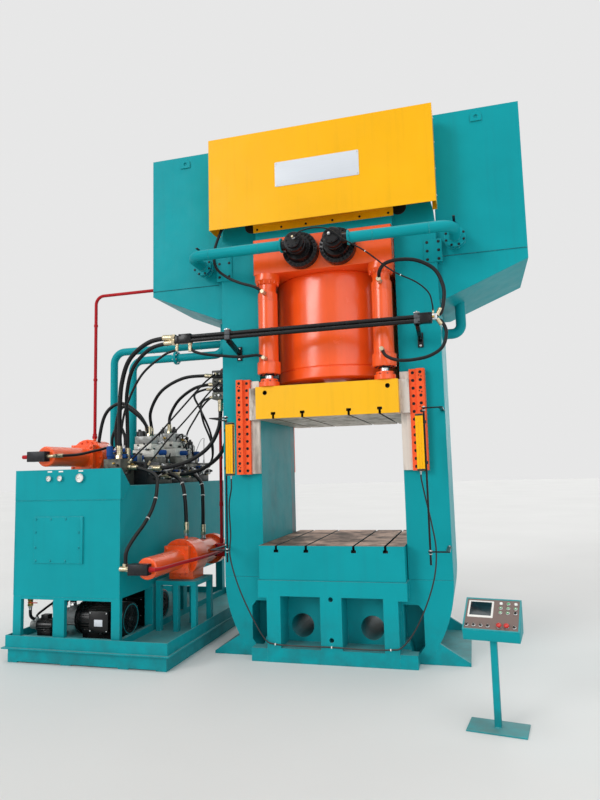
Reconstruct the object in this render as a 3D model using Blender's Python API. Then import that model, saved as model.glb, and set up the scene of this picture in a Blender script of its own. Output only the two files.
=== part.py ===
"""Window-frame hydraulic press with its power unit and operator's console.

Metres, +Z up. The origin is on the floor under the middle of the frame, the front faces -Y.
"""
import math

import bmesh
import bpy
from mathutils import Matrix, Vector

SEAT = 0.0003  # gap between pieces that are bolted or laid face to face
RUN = 0.001  # running gap between sliding faces

# Frame: two uprights between crossheads with large round ends
CYLINDER_R = 0.74
CYLINDER_CLEAR = 0.043
UPRIGHT_WIDE = 0.452
FRAME_DEPTH = 1.34
WINDOW_HALF = CYLINDER_R + CYLINDER_CLEAR
FRAME_HALF = WINDOW_HALF + UPRIGHT_WIDE
LOWER_ARC_Z = 0.82
BED_TOP = LOWER_ARC_Z + 0.01
HEAD_SEAM = 4.57
UPPER_ARC_Z = HEAD_SEAM - 0.04
HEAD_FLAT_HALF = 0.45025
FRAME_TOP = UPPER_ARC_Z + math.sqrt(FRAME_HALF ** 2 - HEAD_FLAT_HALF ** 2)
FOOT_HALF = FRAME_HALF + 0.128
FOOT_IN = math.sqrt(FRAME_HALF ** 2 - LOWER_ARC_Z ** 2) - 0.0435
FOOT_HEIGHT = 0.214
FOOT_PLATE = 0.04
BASE_PLATE_HALF = FOOT_IN - 0.015
BASE_PLATE_TOP = 0.137

# Ribbed bed structure in front of and behind the lower crosshead
BED_OUT = 0.20
BED_HALF = WINDOW_HALF + 0.002
POCKET_RIM = 0.11
SIDE_POCKET_IN = (FRAME_HALF - POCKET_RIM) * math.cos(math.radians(47)) - 0.0472
BED_CHEEK = SIDE_POCKET_IN - 0.03
RECESS_IN = 0.113
RECESS_OUT = BED_CHEEK - 0.15
RECESS_LOW = 0.145
RECESS_HIGH = 0.67
RECESS_DEPTH = 0.30
BED_HOLE_X = (RECESS_IN + RECESS_OUT) / 2 + 0.0535
BED_HOLE_Z = 0.312
BED_HOLE_R = 0.125
SIDE_POCKET_DEPTH = 0.25
LIFT_HOLE_R = 0.025
LIFT_HOLE_DEPTH = 0.09

# Bolster and slide
TABLE_OUT = 0.182
BOLSTER_HALF = WINDOW_HALF - 0.008
BOLSTER_HEIGHT = 0.357
SLOT_PITCH_IN = 0.253
SLOT_PITCH_OUT = BOLSTER_HALF - 0.194
SLOT_MOUTH = 0.024
SLOT_FOOT = 0.050
SLOT_DEPTH = 0.070
SLOT_FOOT_HEIGHT = 0.028
SLIDE_HALF = WINDOW_HALF - 0.002
SLIDE_BOTTOM = 2.542
SLIDE_HEIGHT = 0.356
WING_OUT = WINDOW_HALF + 0.101
WING_PROUD = 0.10

# Guides on the uprights
GIB_THICK = 0.04
GUIDE_LOW = 1.945
GIB_HEIGHT = 1.035
BRACKET_HEIGHT = 1.057
BRACKET_OUT = WING_OUT + 0.166
BRACKET_STEP = WING_OUT + 0.078
BRACKET_THICK = 0.067
BRACKET_STEP_OUT = 0.037

# Main cylinder and ram
CYLINDER_GROOVE = 3.09
CYLINDER_BOTTOM = 2.965
CYLINDER_ROOF = 0.08
RAM_R = 0.36
RAM_LENGTH = 1.05
HEAD_BLOCK_HEIGHT = 0.41
HEAD_BLOCK_HALF = WINDOW_HALF - 0.003
HEAD_BLOCK_OUT = 0.18

# Return cylinders
RETURN_X = CYLINDER_R - 0.099
RETURN_OUT = 0.10
RETURN_R = 0.11
RETURN_CAP_R = 0.14
RETURN_NECK_R = 0.095
RETURN_COLLAR_R = 0.13
RETURN_COLLAR_HEIGHT = 0.13
RETURN_BOTTOM = 3.04
RETURN_NECK_HEIGHT = 0.095
RETURN_CAP_HEIGHT = 0.115
ROD_R = 0.045
ROD_LENGTH = 0.86
ROD_FOOT_R = 0.075
ROD_FOOT_HEIGHT = 0.085

# Prefill valves, pipes and butterfly valves
PREFILL_Z = HEAD_SEAM - 0.205
VALVE_FLANGE_R = 0.195
VALVE_X = VALVE_FLANGE_R + 0.012
VALVE_FLANGE = 0.10
VALVE_BODY_R = 0.155
VALVE_BODY = 0.07
VALVE_TURRET_R = 0.10
VALVE_TURRET = 0.19
VALVE_CAP_R = 0.082
VALVE_CAP = 0.045
PIPE_R = 0.057
PIPE_OUT = 0.45
PIPE_START_X = VALVE_X + 0.148
TANK_PORT_X = FRAME_HALF + 0.195
ELBOW_R = 0.15
FLANGE_R = 0.11
FLANGE = 0.024
BUTTERFLY_R = 0.088
BUTTERFLY = 0.052
LEVER_LENGTH = 0.20
LEVER_WIDTH = 0.026
LEVER_THICK = 0.008

# Oil tanks beside the frame top
TANK_IN = FRAME_HALF + SEAT
TANK_OUT = FRAME_HALF + 0.921
TANK_FRONT = -0.606
TANK_DEPTH = 1.156
TANK_TOP = FRAME_TOP + 0.158
TANK_LOW = HEAD_SEAM - 0.81
TANK_CORNER = TANK_LOW + 0.35
TANK_SLOPE_IN = FRAME_HALF + 0.075
TIE_PLATE_IN = FRAME_HALF - 0.135
TIE_PLATE_OUT = FRAME_HALF + 0.055
TIE_PLATE = 0.012
LUG_X = FRAME_HALF + 0.48
LUG_DROP = 0.10
LUG_R = 0.06

# Sheet cover over the valve gear
COVER_HALF = FRAME_HALF + 0.03
COVER_OUT = 0.284
COVER_DEPTH = 0.226
COVER_LOW = HEAD_SEAM + 0.138
COVER_TOP = FRAME_TOP + 0.105
COVER_SHEET = 0.006
COVER_LIP_HALF = HEAD_BLOCK_HALF + 0.02
COVER_LIP_DROP = 0.02
COVER_LIP_RISE = 0.07
COVER_FLANGE = 0.05

# Pressure rails across the front and their brackets
RAIL_LEFT = -FRAME_HALF - 0.365
RAIL_RIGHT = FRAME_HALF - 0.065
RAIL_OUT = 0.36
RAIL_Z = 3.485
RAIL_R = 0.0225
RAIL_PITCH = 0.046
RAIL_BRACKET_X = BRACKET_OUT - 0.03
HOSE_HIGH = RAIL_Z + 0.46
HOSE_LOW = RAIL_Z - 0.285

# Light curtains
CURTAIN_X = BRACKET_OUT - 0.0526
CURTAIN_WIDE = 0.0747
CURTAIN_DEEP = 0.07
CURTAIN_OUT = 0.40
CURTAIN_LOW = 1.94
CURTAIN_HEIGHT = 0.56
STAND_ROD_X = BRACKET_OUT - 0.005
STAND_ROD_R = 0.010
STAND_LOW = 1.04
STAND_HIGH = 2.57
STAND_BAR = 0.012
STAND_LOW_BAR = 1.16
STAND_HIGH_BAR = 2.55

# Power unit at the left
TRAY_RIGHT = -FRAME_HALF - 0.335
UNIT_RIGHT = TRAY_RIGHT - 0.57
UNIT_LEFT = UNIT_RIGHT - 1.31
UNIT_FRONT = -1.35
UNIT_BACK = 1.53
UNIT_TANK_LOW = 0.69
UNIT_TANK_TOP = 1.855
SPLASH_TOP = 2.05
SPLASH_LOW = 1.72
SPLASH_DEPTH = 0.20
TRAY_SIDE = 0.05
TRAY_TOP = 0.284
TRAY_LOW = 0.149
TRAY_FLOOR = 0.20
TRAY_RIM = 0.012
TRAY_LIP = 0.03
TRAY_LIP_THICK = 0.012
CHANNEL_INSET = 0.02
CHANNEL_WIDE = 0.12
POST = 0.10
HATCH_LEFT = UNIT_LEFT + 0.25
HATCH_RIGHT = UNIT_LEFT + 0.87
HATCH_LOW = 1.045
HATCH_HIGH = 1.54
HATCH_THICK = 0.008
LOW_BOOSTER_X = UNIT_RIGHT + 0.30
LOW_BOOSTER_Z = 1.0
TOP_BOOSTER_X = UNIT_LEFT + 0.36
TOP_BOOSTER_Z = 2.20
BOOSTER_R = 0.113
BOOSTER_FLANGE_R = 0.22
BOOSTER_REAR_R = 0.15
BOOSTER_PORT_R = 0.022
BOOSTER_PORT_HIGH = 0.05
RED_PIPE_R = 0.018
RED_PIPE_Z = 4.27
RISER_Z = 3.32
REAR_PORT_Y = 0.10
STAND_TOP = 0.76
STAND_LEG = 0.06
MOTOR_R = 0.16
MOTOR_LENGTH = 0.56
MOTOR_Z = 0.42

# Operator's console
CONSOLE_X = 1.563
CONSOLE_Y = -2.137
CONSOLE_TURN = -9.0
CONSOLE_WIDE = 0.42
CONSOLE_DEEP = 0.28
CONSOLE_LOW = 0.66
CONSOLE_FRONT_TOP = 0.745
CONSOLE_BACK_TOP = 0.925
CONSOLE_RIM = 0.012
CONSOLE_SINK = 0.004
CONSOLE_POST = 0.05
CONSOLE_FOOT_WIDE = 0.44
CONSOLE_FOOT_DEEP = 0.27
CONSOLE_FOOT = 0.010
BUTTON_R = 0.011
BUTTON_HEIGHT = 0.012
ESTOP_R = 0.020
ESTOP_STEM_R = 0.010

COLOURS = {
    "teal": (0.010, 0.325, 0.367, 1), "orange": (1.0, 0.127, 0.021, 1), "yellow": (0.973, 0.503, 0.003, 1),
    "steel": (0.45, 0.45, 0.44, 1), "chrome": (0.80, 0.80, 0.80, 1), "black": (0.012, 0.012, 0.014, 1),
    "blue": (0.010, 0.045, 0.16, 1), "brass": (0.55, 0.42, 0.22, 1), "grey": (0.35, 0.35, 0.35, 1),
    "red": (0.65, 0.02, 0.02, 1), "green": (0.03, 0.40, 0.12, 1),
}


def paint(obj, colour, rough=0.45, metal=0.0):
    mat = bpy.data.materials.new(obj.name + "_finish")
    mat.use_nodes = True
    shader = mat.node_tree.nodes["Principled BSDF"]
    shader.inputs["Base Color"].default_value = COLOURS[colour]
    shader.inputs["Roughness"].default_value = rough
    shader.inputs["Metallic"].default_value = metal
    obj.data.materials.clear()
    obj.data.materials.append(mat)
    return obj


def from_bmesh(name, bm, smooth=False):
    bmesh.ops.recalc_face_normals(bm, faces=bm.faces)
    mesh = bpy.data.meshes.new(name)
    bm.to_mesh(mesh)
    bm.free()
    if smooth:
        mesh.shade_smooth()
        mesh.set_sharp_from_angle(angle=math.radians(35))
    obj = bpy.data.objects.new(name, mesh)
    bpy.context.collection.objects.link(obj)
    return obj


def box(name, x, y, z):
    bm = bmesh.new()
    bmesh.ops.create_cube(bm, size=1.0)
    lo = Vector((min(x), min(y), min(z)))
    hi = Vector((max(x), max(y), max(z)))
    for vert in bm.verts:
        vert.co = Vector([lo[i] if vert.co[i] < 0 else hi[i] for i in range(3)])
    return from_bmesh(name, bm)


def prism(name, outline, axis, start, end):
    """Extrude a closed outline of (a, b) points along the X, Y or Z axis."""
    place = {"X": lambda a, b, c: (c, a, b), "Y": lambda a, b, c: (a, c, b), "Z": lambda a, b, c: (a, b, c)}[axis]
    bm = bmesh.new()
    face = bm.faces.new([bm.verts.new(place(a, b, start)) for a, b in outline])
    out = bmesh.ops.extrude_face_region(bm, geom=[face])
    step = Vector(place(0, 0, end)) - Vector(place(0, 0, start))
    bmesh.ops.translate(bm, vec=step, verts=[v for v in out["geom"] if isinstance(v, bmesh.types.BMVert)])
    return from_bmesh(name, bm)


def turned(name, profile, centre, axis, sides=32):
    """Spin a profile of (radius, height) points, from the axis out and back to it, round an axis."""
    frame = {"X": Matrix(((0, 0, 1), (1, 0, 0), (0, 1, 0))), "Y": Matrix(((0, 1, 0), (0, 0, 1), (1, 0, 0))),
             "Z": Matrix.Identity(3)}[axis]
    bm = bmesh.new()
    rings = []
    for radius, height in profile:
        spots = [(0.0, 0.0)] if radius == 0 else [
            (radius * math.cos(2 * math.pi * i / sides), radius * math.sin(2 * math.pi * i / sides))
            for i in range(sides)]
        rings.append([bm.verts.new(Vector(centre) + frame @ Vector((a, b, height))) for a, b in spots])
    if len(rings[0]) > 1:
        rings.append(rings[0])
    for low, high in zip(rings, rings[1:]):
        for i in range(sides if len(low) + len(high) > 2 else 0):
            j = (i + 1) % sides
            corners = [low[i % len(low)], low[j % len(low)], high[j % len(high)], high[i % len(high)]]
            bm.faces.new(list(dict.fromkeys(corners)))
    return from_bmesh(name, bm, smooth=True)


def rod(name, centre, axis, radius, start, end, sides=24):
    return turned(name, [(0, start), (radius, start), (radius, end), (0, end)], centre, axis, sides)


def smooth_route(points, step):
    """A straight piece at each end and, between them, points at an even step along a Catmull-Rom curve."""
    pts = [Vector(p) for p in points]
    fine = []
    for p0, p1, p2, p3 in zip(pts, pts[1:], pts[2:], pts[3:]):
        for k in range(24):
            t = k / 24
            fine.append(0.5 * (2 * p1 + (p2 - p0) * t + (2 * p0 - 5 * p1 + 4 * p2 - p3) * t * t
                               + (3 * p1 - 3 * p2 + p3 - p0) * t ** 3))
    fine.append(pts[-2])
    lengths = [0.0]
    for a, b in zip(fine, fine[1:]):
        lengths.append(lengths[-1] + (b - a).length)
    count = max(4, round(lengths[-1] / step))
    route, k = [], 0
    for i in range(count + 1):
        want = lengths[-1] * i / count
        while k < len(fine) - 2 and lengths[k + 1] < want:
            k += 1
        part = (want - lengths[k]) / max(lengths[k + 1] - lengths[k], 1e-9)
        route.append(fine[k].lerp(fine[k + 1], part))
    return [pts[0]] + route + [pts[-1]]


def bent_route(points, radius, steps=5):
    """A pipe run through corner points with a true arc of the given radius at each corner."""
    pts = [Vector(p) for p in points]
    route = [pts[0]]
    for before, corner, after in zip(pts, pts[1:], pts[2:]):
        a, b = (before - corner).normalized(), (after - corner).normalized()
        half = a.angle(b) / 2
        centre = corner + (a + b).normalized() * radius / math.sin(half)
        first = corner + a * radius / math.tan(half) - centre
        last = corner + b * radius / math.tan(half) - centre
        turn = first.rotation_difference(last)
        for i in range(steps + 1):
            route.append(centre + Matrix.Rotation(turn.angle * i / steps, 3, turn.axis) @ first)
    return route + [pts[-1]]


def tube(name, route, radius, fineness=2):
    """A curve object with a round bevel and filled ends."""
    curve = bpy.data.curves.new(name, "CURVE")
    curve.dimensions = "3D"
    spline = curve.splines.new("POLY")
    spline.points.add(len(route) - 1)
    for point, spot in zip(spline.points, route):
        point.co = (*spot, 1.0)
    curve.bevel_depth = radius
    curve.bevel_resolution = fineness
    curve.use_fill_caps = True
    obj = bpy.data.objects.new(name, curve)
    bpy.context.collection.objects.link(obj)
    return obj


def solid_tube(name, route, radius, fineness=2):
    """The same tube as a mesh, so that it can be joined to its fittings."""
    guide = tube(name + "_guide", route, radius, fineness)
    bpy.context.view_layer.update()
    mesh = bpy.data.meshes.new_from_object(guide.evaluated_get(bpy.context.evaluated_depsgraph_get()))
    bpy.data.objects.remove(guide, do_unlink=True)
    mesh.shade_smooth()
    mesh.set_sharp_from_angle(angle=math.radians(50))
    obj = bpy.data.objects.new(name, mesh)
    bpy.context.collection.objects.link(obj)
    return obj


def combine(target, operation, others):
    for other in others:
        change = target.modifiers.new(other.name, "BOOLEAN")
        change.operation = operation
        change.solver = "EXACT"
        change.object = other
        other.hide_render = True
        other.display_type = "WIRE"
        other.hide_set(True)
    return target


def cut(target, *others):
    return combine(target, "DIFFERENCE", others)


def join(target, *others):
    return combine(target, "UNION", others)


def arc(cx, cy, radius, start, end, steps):
    return [(cx + radius * math.cos(math.radians(start + (end - start) * i / steps)),
             cy + radius * math.sin(math.radians(start + (end - start) * i / steps))) for i in range(steps + 1)]


def sides():
    return (("left", -1), ("right", 1))


def span(side, a, b):
    return (min(side * a, side * b), max(side * a, side * b))


for old in list(bpy.data.objects):
    bpy.data.objects.remove(old, do_unlink=True)

front = -FRAME_DEPTH / 2
back = FRAME_DEPTH / 2
bed_front = front - BED_OUT
table_front = front - TABLE_OUT
table_back = back + TABLE_OUT
slide_top = SLIDE_BOTTOM + SLIDE_HEIGHT
bolster_low = BED_TOP + SEAT
bolster_top = bolster_low + BOLSTER_HEIGHT
head_low = HEAD_SEAM - SEAT - HEAD_BLOCK_HEIGHT
head_front = front - HEAD_BLOCK_OUT


def lower_crosshead():
    dip = math.degrees(math.asin(LOWER_ARC_Z / FRAME_HALF))
    outline = [(-FRAME_HALF, BED_TOP)] + arc(0, LOWER_ARC_Z, FRAME_HALF, 180, 180 + dip, 10) + \
        arc(0, LOWER_ARC_Z, FRAME_HALF, -dip, 0, 10) + [(FRAME_HALF, BED_TOP)]
    body = prism("lower_crosshead", outline, "Y", front, back)
    apex = math.sqrt(FRAME_HALF ** 2 - (LOWER_ARC_Z - FOOT_HEIGHT) ** 2)
    for name, face, way in (("front", front, -1), ("back", back, 1)):
        lip = face + way * BED_OUT
        deep = face - way * (RECESS_DEPTH - BED_OUT)
        join(body, box("bed_block_" + name, (-BED_CHEEK, BED_CHEEK), (lip, face - way * 0.05), (0, BED_TOP)),
             box("bed_flange_" + name, (-BED_HALF, BED_HALF), (lip, face - way * 0.04), (BED_TOP - 0.18, BED_TOP)),
             box("base_plate_" + name, (-BASE_PLATE_HALF, BASE_PLATE_HALF), (lip - way * 0.002, face - way * 0.03),
                 (0, BASE_PLATE_TOP)))
        for side_name, side in sides():
            foot = [(side * apex * 0.985, FOOT_HEIGHT), (side * FOOT_HALF, 0.03), (side * FOOT_HALF, 0),
                    (side * FOOT_IN, 0), (side * FOOT_IN, 0.06)]
            join(body, prism("foot_%s_%s" % (name, side_name), foot, "Y", face - way * 0.001, face - way * FOOT_PLATE))
    for side_name, side in sides():
        join(body, box("foot_sole_" + side_name, span(side, FOOT_IN - 0.01, FOOT_HALF),
                       (front + 0.002, back - 0.002), (0, 0.03)))
    for name, face, way in (("front", front, -1), ("back", back, 1)):
        lip = face + way * BED_OUT
        deep = lip - way * RECESS_DEPTH
        for side_name, side in sides():
            tag = "_%s_%s" % (name, side_name)
            cut(body, box("recess" + tag, span(side, RECESS_IN, RECESS_OUT), (lip + way * 0.05, deep),
                          (RECESS_LOW, RECESS_HIGH)))
            curve = arc(0, LOWER_ARC_Z, FRAME_HALF - POCKET_RIM, -47, -35, 4)
            pocket = [(side * a, b) for a, b in [(SIDE_POCKET_IN, 0.20), (curve[0][0], 0.20)] + curve[1:] +
                      [(curve[-1][0], 0.52), (curve[-1][0] - 0.05, 0.58), (SIDE_POCKET_IN, 0.58)]]
            cut(body, prism("side_pocket" + tag, pocket, "Y", face + way * 0.05, face - way * SIDE_POCKET_DEPTH))
        for z in (BED_TOP - 0.182, 0.244):
            cut(body, rod("bed_lift_%s_%d" % (name, z * 1000), (0, 0, z), "Y", LIFT_HOLE_R,
                          *sorted((lip + way * 0.01, lip - way * LIFT_HOLE_DEPTH)), sides=16))
    for side_name, side in sides():
        cut(body, rod("bed_bore_" + side_name, (side * BED_HOLE_X, 0, BED_HOLE_Z), "Y", BED_HOLE_R,
                      front - 0.01, back + 0.01, sides=24))
    paint(body, "teal")


def uprights():
    for name, side in sides():
        post = box("upright_" + name, span(side, WINDOW_HALF, FRAME_HALF), (front, back),
                   (BED_TOP + SEAT, HEAD_SEAM - SEAT))
        paint(post, "teal")


def upper_crosshead():
    rise = math.degrees(math.asin((FRAME_TOP - UPPER_ARC_Z) / FRAME_HALF))
    low = math.degrees(math.asin((HEAD_SEAM - UPPER_ARC_Z) / FRAME_HALF))
    outline = arc(0, UPPER_ARC_Z, FRAME_HALF, low, rise, 9) + arc(0, UPPER_ARC_Z, FRAME_HALF, 180 - rise, 180 - low, 9)
    body = prism("upper_crosshead", outline, "Y", front, back)
    join(body, box("head_web", (-HEAD_BLOCK_HALF, HEAD_BLOCK_HALF), (front - 0.09, back + 0.09),
                   (HEAD_SEAM, FRAME_TOP - 0.42)))
    paint(body, "teal")


def tee_slot(name, x, mouth_z, way):
    """T-slot cutter that runs through in Y; way is the direction from the mouth into the metal."""
    foot_top = mouth_z + way * (SLOT_DEPTH - SLOT_FOOT_HEIGHT)
    foot_end = mouth_z + way * SLOT_DEPTH
    half, wide = SLOT_MOUTH / 2, SLOT_FOOT / 2
    outline = [(x - half, mouth_z - way * 0.01), (x + half, mouth_z - way * 0.01), (x + half, foot_top),
               (x + wide, foot_top), (x + wide, foot_end), (x - wide, foot_end), (x - wide, foot_top),
               (x - half, foot_top)]
    return prism(name, outline, "Y", table_front - 0.02, table_back + 0.02)


def tables():
    slots = [s * p for p in (SLOT_PITCH_IN, SLOT_PITCH_OUT) for s in (-1, 1)]
    bolster = box("bolster", (-BOLSTER_HALF, BOLSTER_HALF), (table_front, table_back), (bolster_low, bolster_top))
    for i, x in enumerate(slots):
        cut(bolster, tee_slot("bolster_slot_%d" % i, x, bolster_top, -1))
    paint(bolster, "teal")

    slide = box("slide", (-SLIDE_HALF, SLIDE_HALF), (table_front, table_back), (SLIDE_BOTTOM, slide_top))
    for name, side in sides():
        for end, face, way in (("front", front, -1), ("rear", back, 1)):
            wing = box("wing_%s_%s" % (end, name), span(side, SLIDE_HALF - 0.02, WING_OUT),
                       (face + way * (GIB_THICK + RUN), face + way * WING_PROUD), (SLIDE_BOTTOM, slide_top))
            join(slide, wing)
    for i, x in enumerate(slots):
        cut(slide, tee_slot("slide_slot_%d" % i, x, SLIDE_BOTTOM, 1))
    for name, side in sides():
        for end, face, way in (("front", table_front, 1), ("rear", table_back, -1)):
            cut(slide, rod("slide_lift_%s_%s" % (end, name), (side * (SLIDE_HALF - 0.109), 0, slide_top - 0.069), "Y", LIFT_HOLE_R,
                           *sorted((face - way * 0.01, face + way * LIFT_HOLE_DEPTH)), sides=16))
    paint(slide, "yellow")


def guides():
    for name, side in sides():
        for end, face, way in (("front", front, -1), ("rear", back, 1)):
            inner = WING_OUT + RUN
            seat = face + way * SEAT
            proud = face + way * BRACKET_THICK
            outer = proud + way * BRACKET_STEP_OUT
            corner = 0.03
            outline = [(side * a, b) for a, b in [
                (inner, seat), (inner, proud), (BRACKET_STEP, proud), (BRACKET_STEP, outer),
                (BRACKET_OUT - corner, outer), (BRACKET_OUT - corner * 0.3, outer - way * corner * 0.3),
                (BRACKET_OUT, outer - way * corner), (BRACKET_OUT, seat)]]
            bracket = prism("guide_bracket_%s_%s" % (end, name), outline, "Z", GUIDE_LOW, GUIDE_LOW + BRACKET_HEIGHT)
            gib_name = "guide_gib_%s_%s" % (end, name)
            gib = box(gib_name if end == "front" else gib_name + "_strip",
                      span(side, WINDOW_HALF + 0.002, inner - (SEAT if end == "front" else -0.002)),
                      (seat, face + way * GIB_THICK), (GUIDE_LOW + 0.005, GUIDE_LOW + 0.005 + GIB_HEIGHT))
            if end == "front":
                paint(gib, "steel", 0.35, 1.0)
            else:
                join(bracket, gib)
            paint(bracket, "orange")


def main_cylinder():
    top = head_low - SEAT
    groove = 0.014
    barrel = turned("main_cylinder", [
        (RAM_R + RUN, CYLINDER_BOTTOM), (CYLINDER_R - 0.03, CYLINDER_BOTTOM), (CYLINDER_R, CYLINDER_BOTTOM + 0.02),
        (CYLINDER_R, CYLINDER_GROOVE), (CYLINDER_R - groove, CYLINDER_GROOVE + 0.004),
        (CYLINDER_R - groove, CYLINDER_GROOVE + 0.014), (CYLINDER_R - 0.004, CYLINDER_GROOVE + 0.02),
        (CYLINDER_R - 0.004, top - 0.03), (CYLINDER_R - 0.02, top), (0, top), (0, top - CYLINDER_ROOF),
        (RAM_R + RUN, top - CYLINDER_ROOF)], (0, 0, 0), "Z", 48)
    paint(barrel, "orange", 0.3)
    ram = turned("ram", [
        (0, 0), (RAM_R + 0.06, 0), (RAM_R + 0.06, 0.03), (RAM_R, 0.03), (RAM_R, RAM_LENGTH - 0.01),
        (RAM_R - 0.01, RAM_LENGTH), (0, RAM_LENGTH)], (0, 0, 0), "Z", 48)
    ram.location = (0, 0, slide_top + SEAT)
    paint(ram, "chrome", 0.12, 1.0)
    block = box("head_block", (-HEAD_BLOCK_HALF, HEAD_BLOCK_HALF), (head_front, back + HEAD_BLOCK_OUT),
                (head_low, HEAD_SEAM - SEAT))
    edge = block.modifiers.new("edges", "BEVEL")
    edge.width = 0.006
    edge.segments = 1
    paint(block, "orange")


def return_cylinders():
    top = head_low - SEAT
    neck_low = top - RETURN_CAP_HEIGHT - RETURN_NECK_HEIGHT
    collar = RETURN_BOTTOM + RETURN_COLLAR_HEIGHT
    bore = ROD_R + RUN
    for name, side in sides():
        spot = (side * RETURN_X, front - RETURN_OUT, 0)
        body = turned("return_cylinder_" + name, [
            (bore, RETURN_BOTTOM), (RETURN_COLLAR_R - 0.008, RETURN_BOTTOM), (RETURN_COLLAR_R, RETURN_BOTTOM + 0.012),
            (RETURN_COLLAR_R, collar), (RETURN_R, collar), (RETURN_R, neck_low), (RETURN_NECK_R, neck_low + 0.02),
            (RETURN_NECK_R, top - RETURN_CAP_HEIGHT), (RETURN_CAP_R, top - RETURN_CAP_HEIGHT + 0.045),
            (RETURN_CAP_R, top), (0, top), (0, top - 0.16), (bore, top - 0.16)], spot, "Z", 24)
        paint(body, "orange")
        foot = ROD_FOOT_HEIGHT
        shaft = turned("return_rod_" + name, [
            (0, 0), (ROD_FOOT_R, 0), (ROD_FOOT_R, foot * 0.45), (ROD_FOOT_R - 0.013, foot * 0.5),
            (ROD_FOOT_R - 0.013, foot), (ROD_R, foot), (ROD_R, ROD_LENGTH), (0, ROD_LENGTH)], (0, 0, 0), "Z", 20)
        shaft.location = (spot[0], spot[1], slide_top + SEAT)
        paint(shaft, "chrome", 0.15, 1.0)


def prefill_gear():
    face = head_front - SEAT
    flange_end = face - VALVE_FLANGE
    body_end = flange_end - VALVE_BODY
    turret_end = body_end - VALVE_TURRET
    tank_flange = TANK_FRONT - 0.084 - FLANGE
    wafer_front = tank_flange - SEAT - BUTTERFLY
    pipe_y = front - PIPE_OUT
    for name, side in sides():
        spot = (side * VALVE_X, 0, PREFILL_Z)
        valve = turned("prefill_valve_" + name, [
            (0, face), (VALVE_FLANGE_R, face), (VALVE_FLANGE_R, flange_end), (VALVE_BODY_R, flange_end - 0.006),
            (VALVE_BODY_R - 0.02, body_end), (VALVE_TURRET_R, body_end), (VALVE_TURRET_R, turret_end),
            (VALVE_CAP_R, turret_end), (VALVE_CAP_R, turret_end - VALVE_CAP), (0, turret_end - VALVE_CAP)],
            spot, "Y", 28)
        join(valve, rod("valve_stub_" + name, (0, pipe_y, PREFILL_Z), "X", PIPE_R,
                        *span(side, VALVE_X, PIPE_START_X - SEAT), sides=16))
        paint(valve, "black", 0.4)

        pipe_end = wafer_front - SEAT
        route = bent_route([(side * (PIPE_START_X + 0.002), pipe_y, PREFILL_Z), (side * TANK_PORT_X, pipe_y, PREFILL_Z),
                            (side * TANK_PORT_X, pipe_end - 0.002, PREFILL_Z)], ELBOW_R, 7)
        pipe = solid_tube("prefill_pipe_" + name, route, PIPE_R, 3)
        join(pipe, rod("pipe_union_" + name, (0, pipe_y, PREFILL_Z), "X", PIPE_R + 0.018,
                       *span(side, PIPE_START_X, PIPE_START_X + 0.02), sides=20),
             rod("pipe_flange_" + name, (side * TANK_PORT_X, 0, PREFILL_Z), "Y", FLANGE_R,
                 pipe_end - FLANGE, pipe_end, sides=24))
        paint(pipe, "teal")

        wafer = rod("butterfly_valve_" + name, (side * TANK_PORT_X, 0, PREFILL_Z), "Y", BUTTERFLY_R,
                    wafer_front, tank_flange - SEAT, sides=24)
        middle = (wafer_front + tank_flange) / 2
        stem_top = PREFILL_Z + FLANGE_R + 0.045
        join(wafer, rod("valve_neck_" + name, (side * TANK_PORT_X, middle, 0), "Z", 0.018,
                        PREFILL_Z + 0.06, stem_top, sides=12),
             box("valve_head_" + name, (side * TANK_PORT_X - 0.03, side * TANK_PORT_X + 0.03),
                 (middle - 0.024, middle + 0.024), (stem_top - 0.02, stem_top)))
        paint(wafer, "blue", 0.4)

        lever = rod("butterfly_lever_" + name, (0, 0, 0), "Z", 0.019, 0, 0.018, sides=16)
        bar = box("lever_bar_" + name, (-LEVER_WIDTH / 2, LEVER_WIDTH / 2), (-LEVER_LENGTH, 0.005),
                  (0.004, 0.004 + LEVER_THICK))
        lever.location = bar.location = (side * TANK_PORT_X, middle, stem_top + SEAT)
        join(lever, bar)
        paint(lever, "black", 0.5)


def oil_tanks():
    for name, side in sides():
        outline = [(side * a, b) for a, b in [
            (TANK_IN, TANK_TOP), (TANK_OUT, TANK_TOP), (TANK_OUT, TANK_CORNER), (TANK_SLOPE_IN, TANK_LOW),
            (TANK_IN, TANK_LOW)]]
        tank = prism("oil_tank_" + name, outline, "Y", TANK_FRONT, TANK_FRONT + TANK_DEPTH)
        lug = [(side * LUG_X + a, b) for a, b in
               arc(0, TANK_TOP - LUG_DROP, LUG_R, 180, 0, 8) + [(LUG_R, TANK_TOP - LUG_DROP - 0.05),
                                                                (-LUG_R, TANK_TOP - LUG_DROP - 0.05)]]
        eye = rod("lug_eye_" + name, (side * LUG_X, 0, TANK_TOP - LUG_DROP), "Y", 0.022, TANK_FRONT - 0.03,
                  TANK_FRONT - 0.0005, sides=12)
        plate = prism("lug_" + name, lug, "Y", TANK_FRONT - 0.014, TANK_FRONT + 0.002)
        neck_end = TANK_FRONT - 0.084
        port = (side * TANK_PORT_X, 0, PREFILL_Z)
        join(tank, plate,
             rod("tank_neck_" + name, port, "Y", PIPE_R, neck_end - 0.002, TANK_FRONT + 0.01, sides=16),
             rod("tank_flange_" + name, port, "Y", FLANGE_R, neck_end - FLANGE, neck_end, sides=24))
        cut(tank, eye)
        low = 4.15 if side > 0 else 4.19
        high = 4.40 if side > 0 else 4.615
        join(tank, box("tie_plate_" + name, span(side, TIE_PLATE_IN, TIE_PLATE_OUT),
                       (front - TIE_PLATE, front - SEAT), (low, high)),
             box("tie_block_" + name, span(side, TANK_IN, TIE_PLATE_OUT - 0.001), (front - TIE_PLATE + 0.001, TANK_FRONT + 0.01),
                 (low + 0.001, high - 0.001)))
        paint(tank, "teal")


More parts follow.
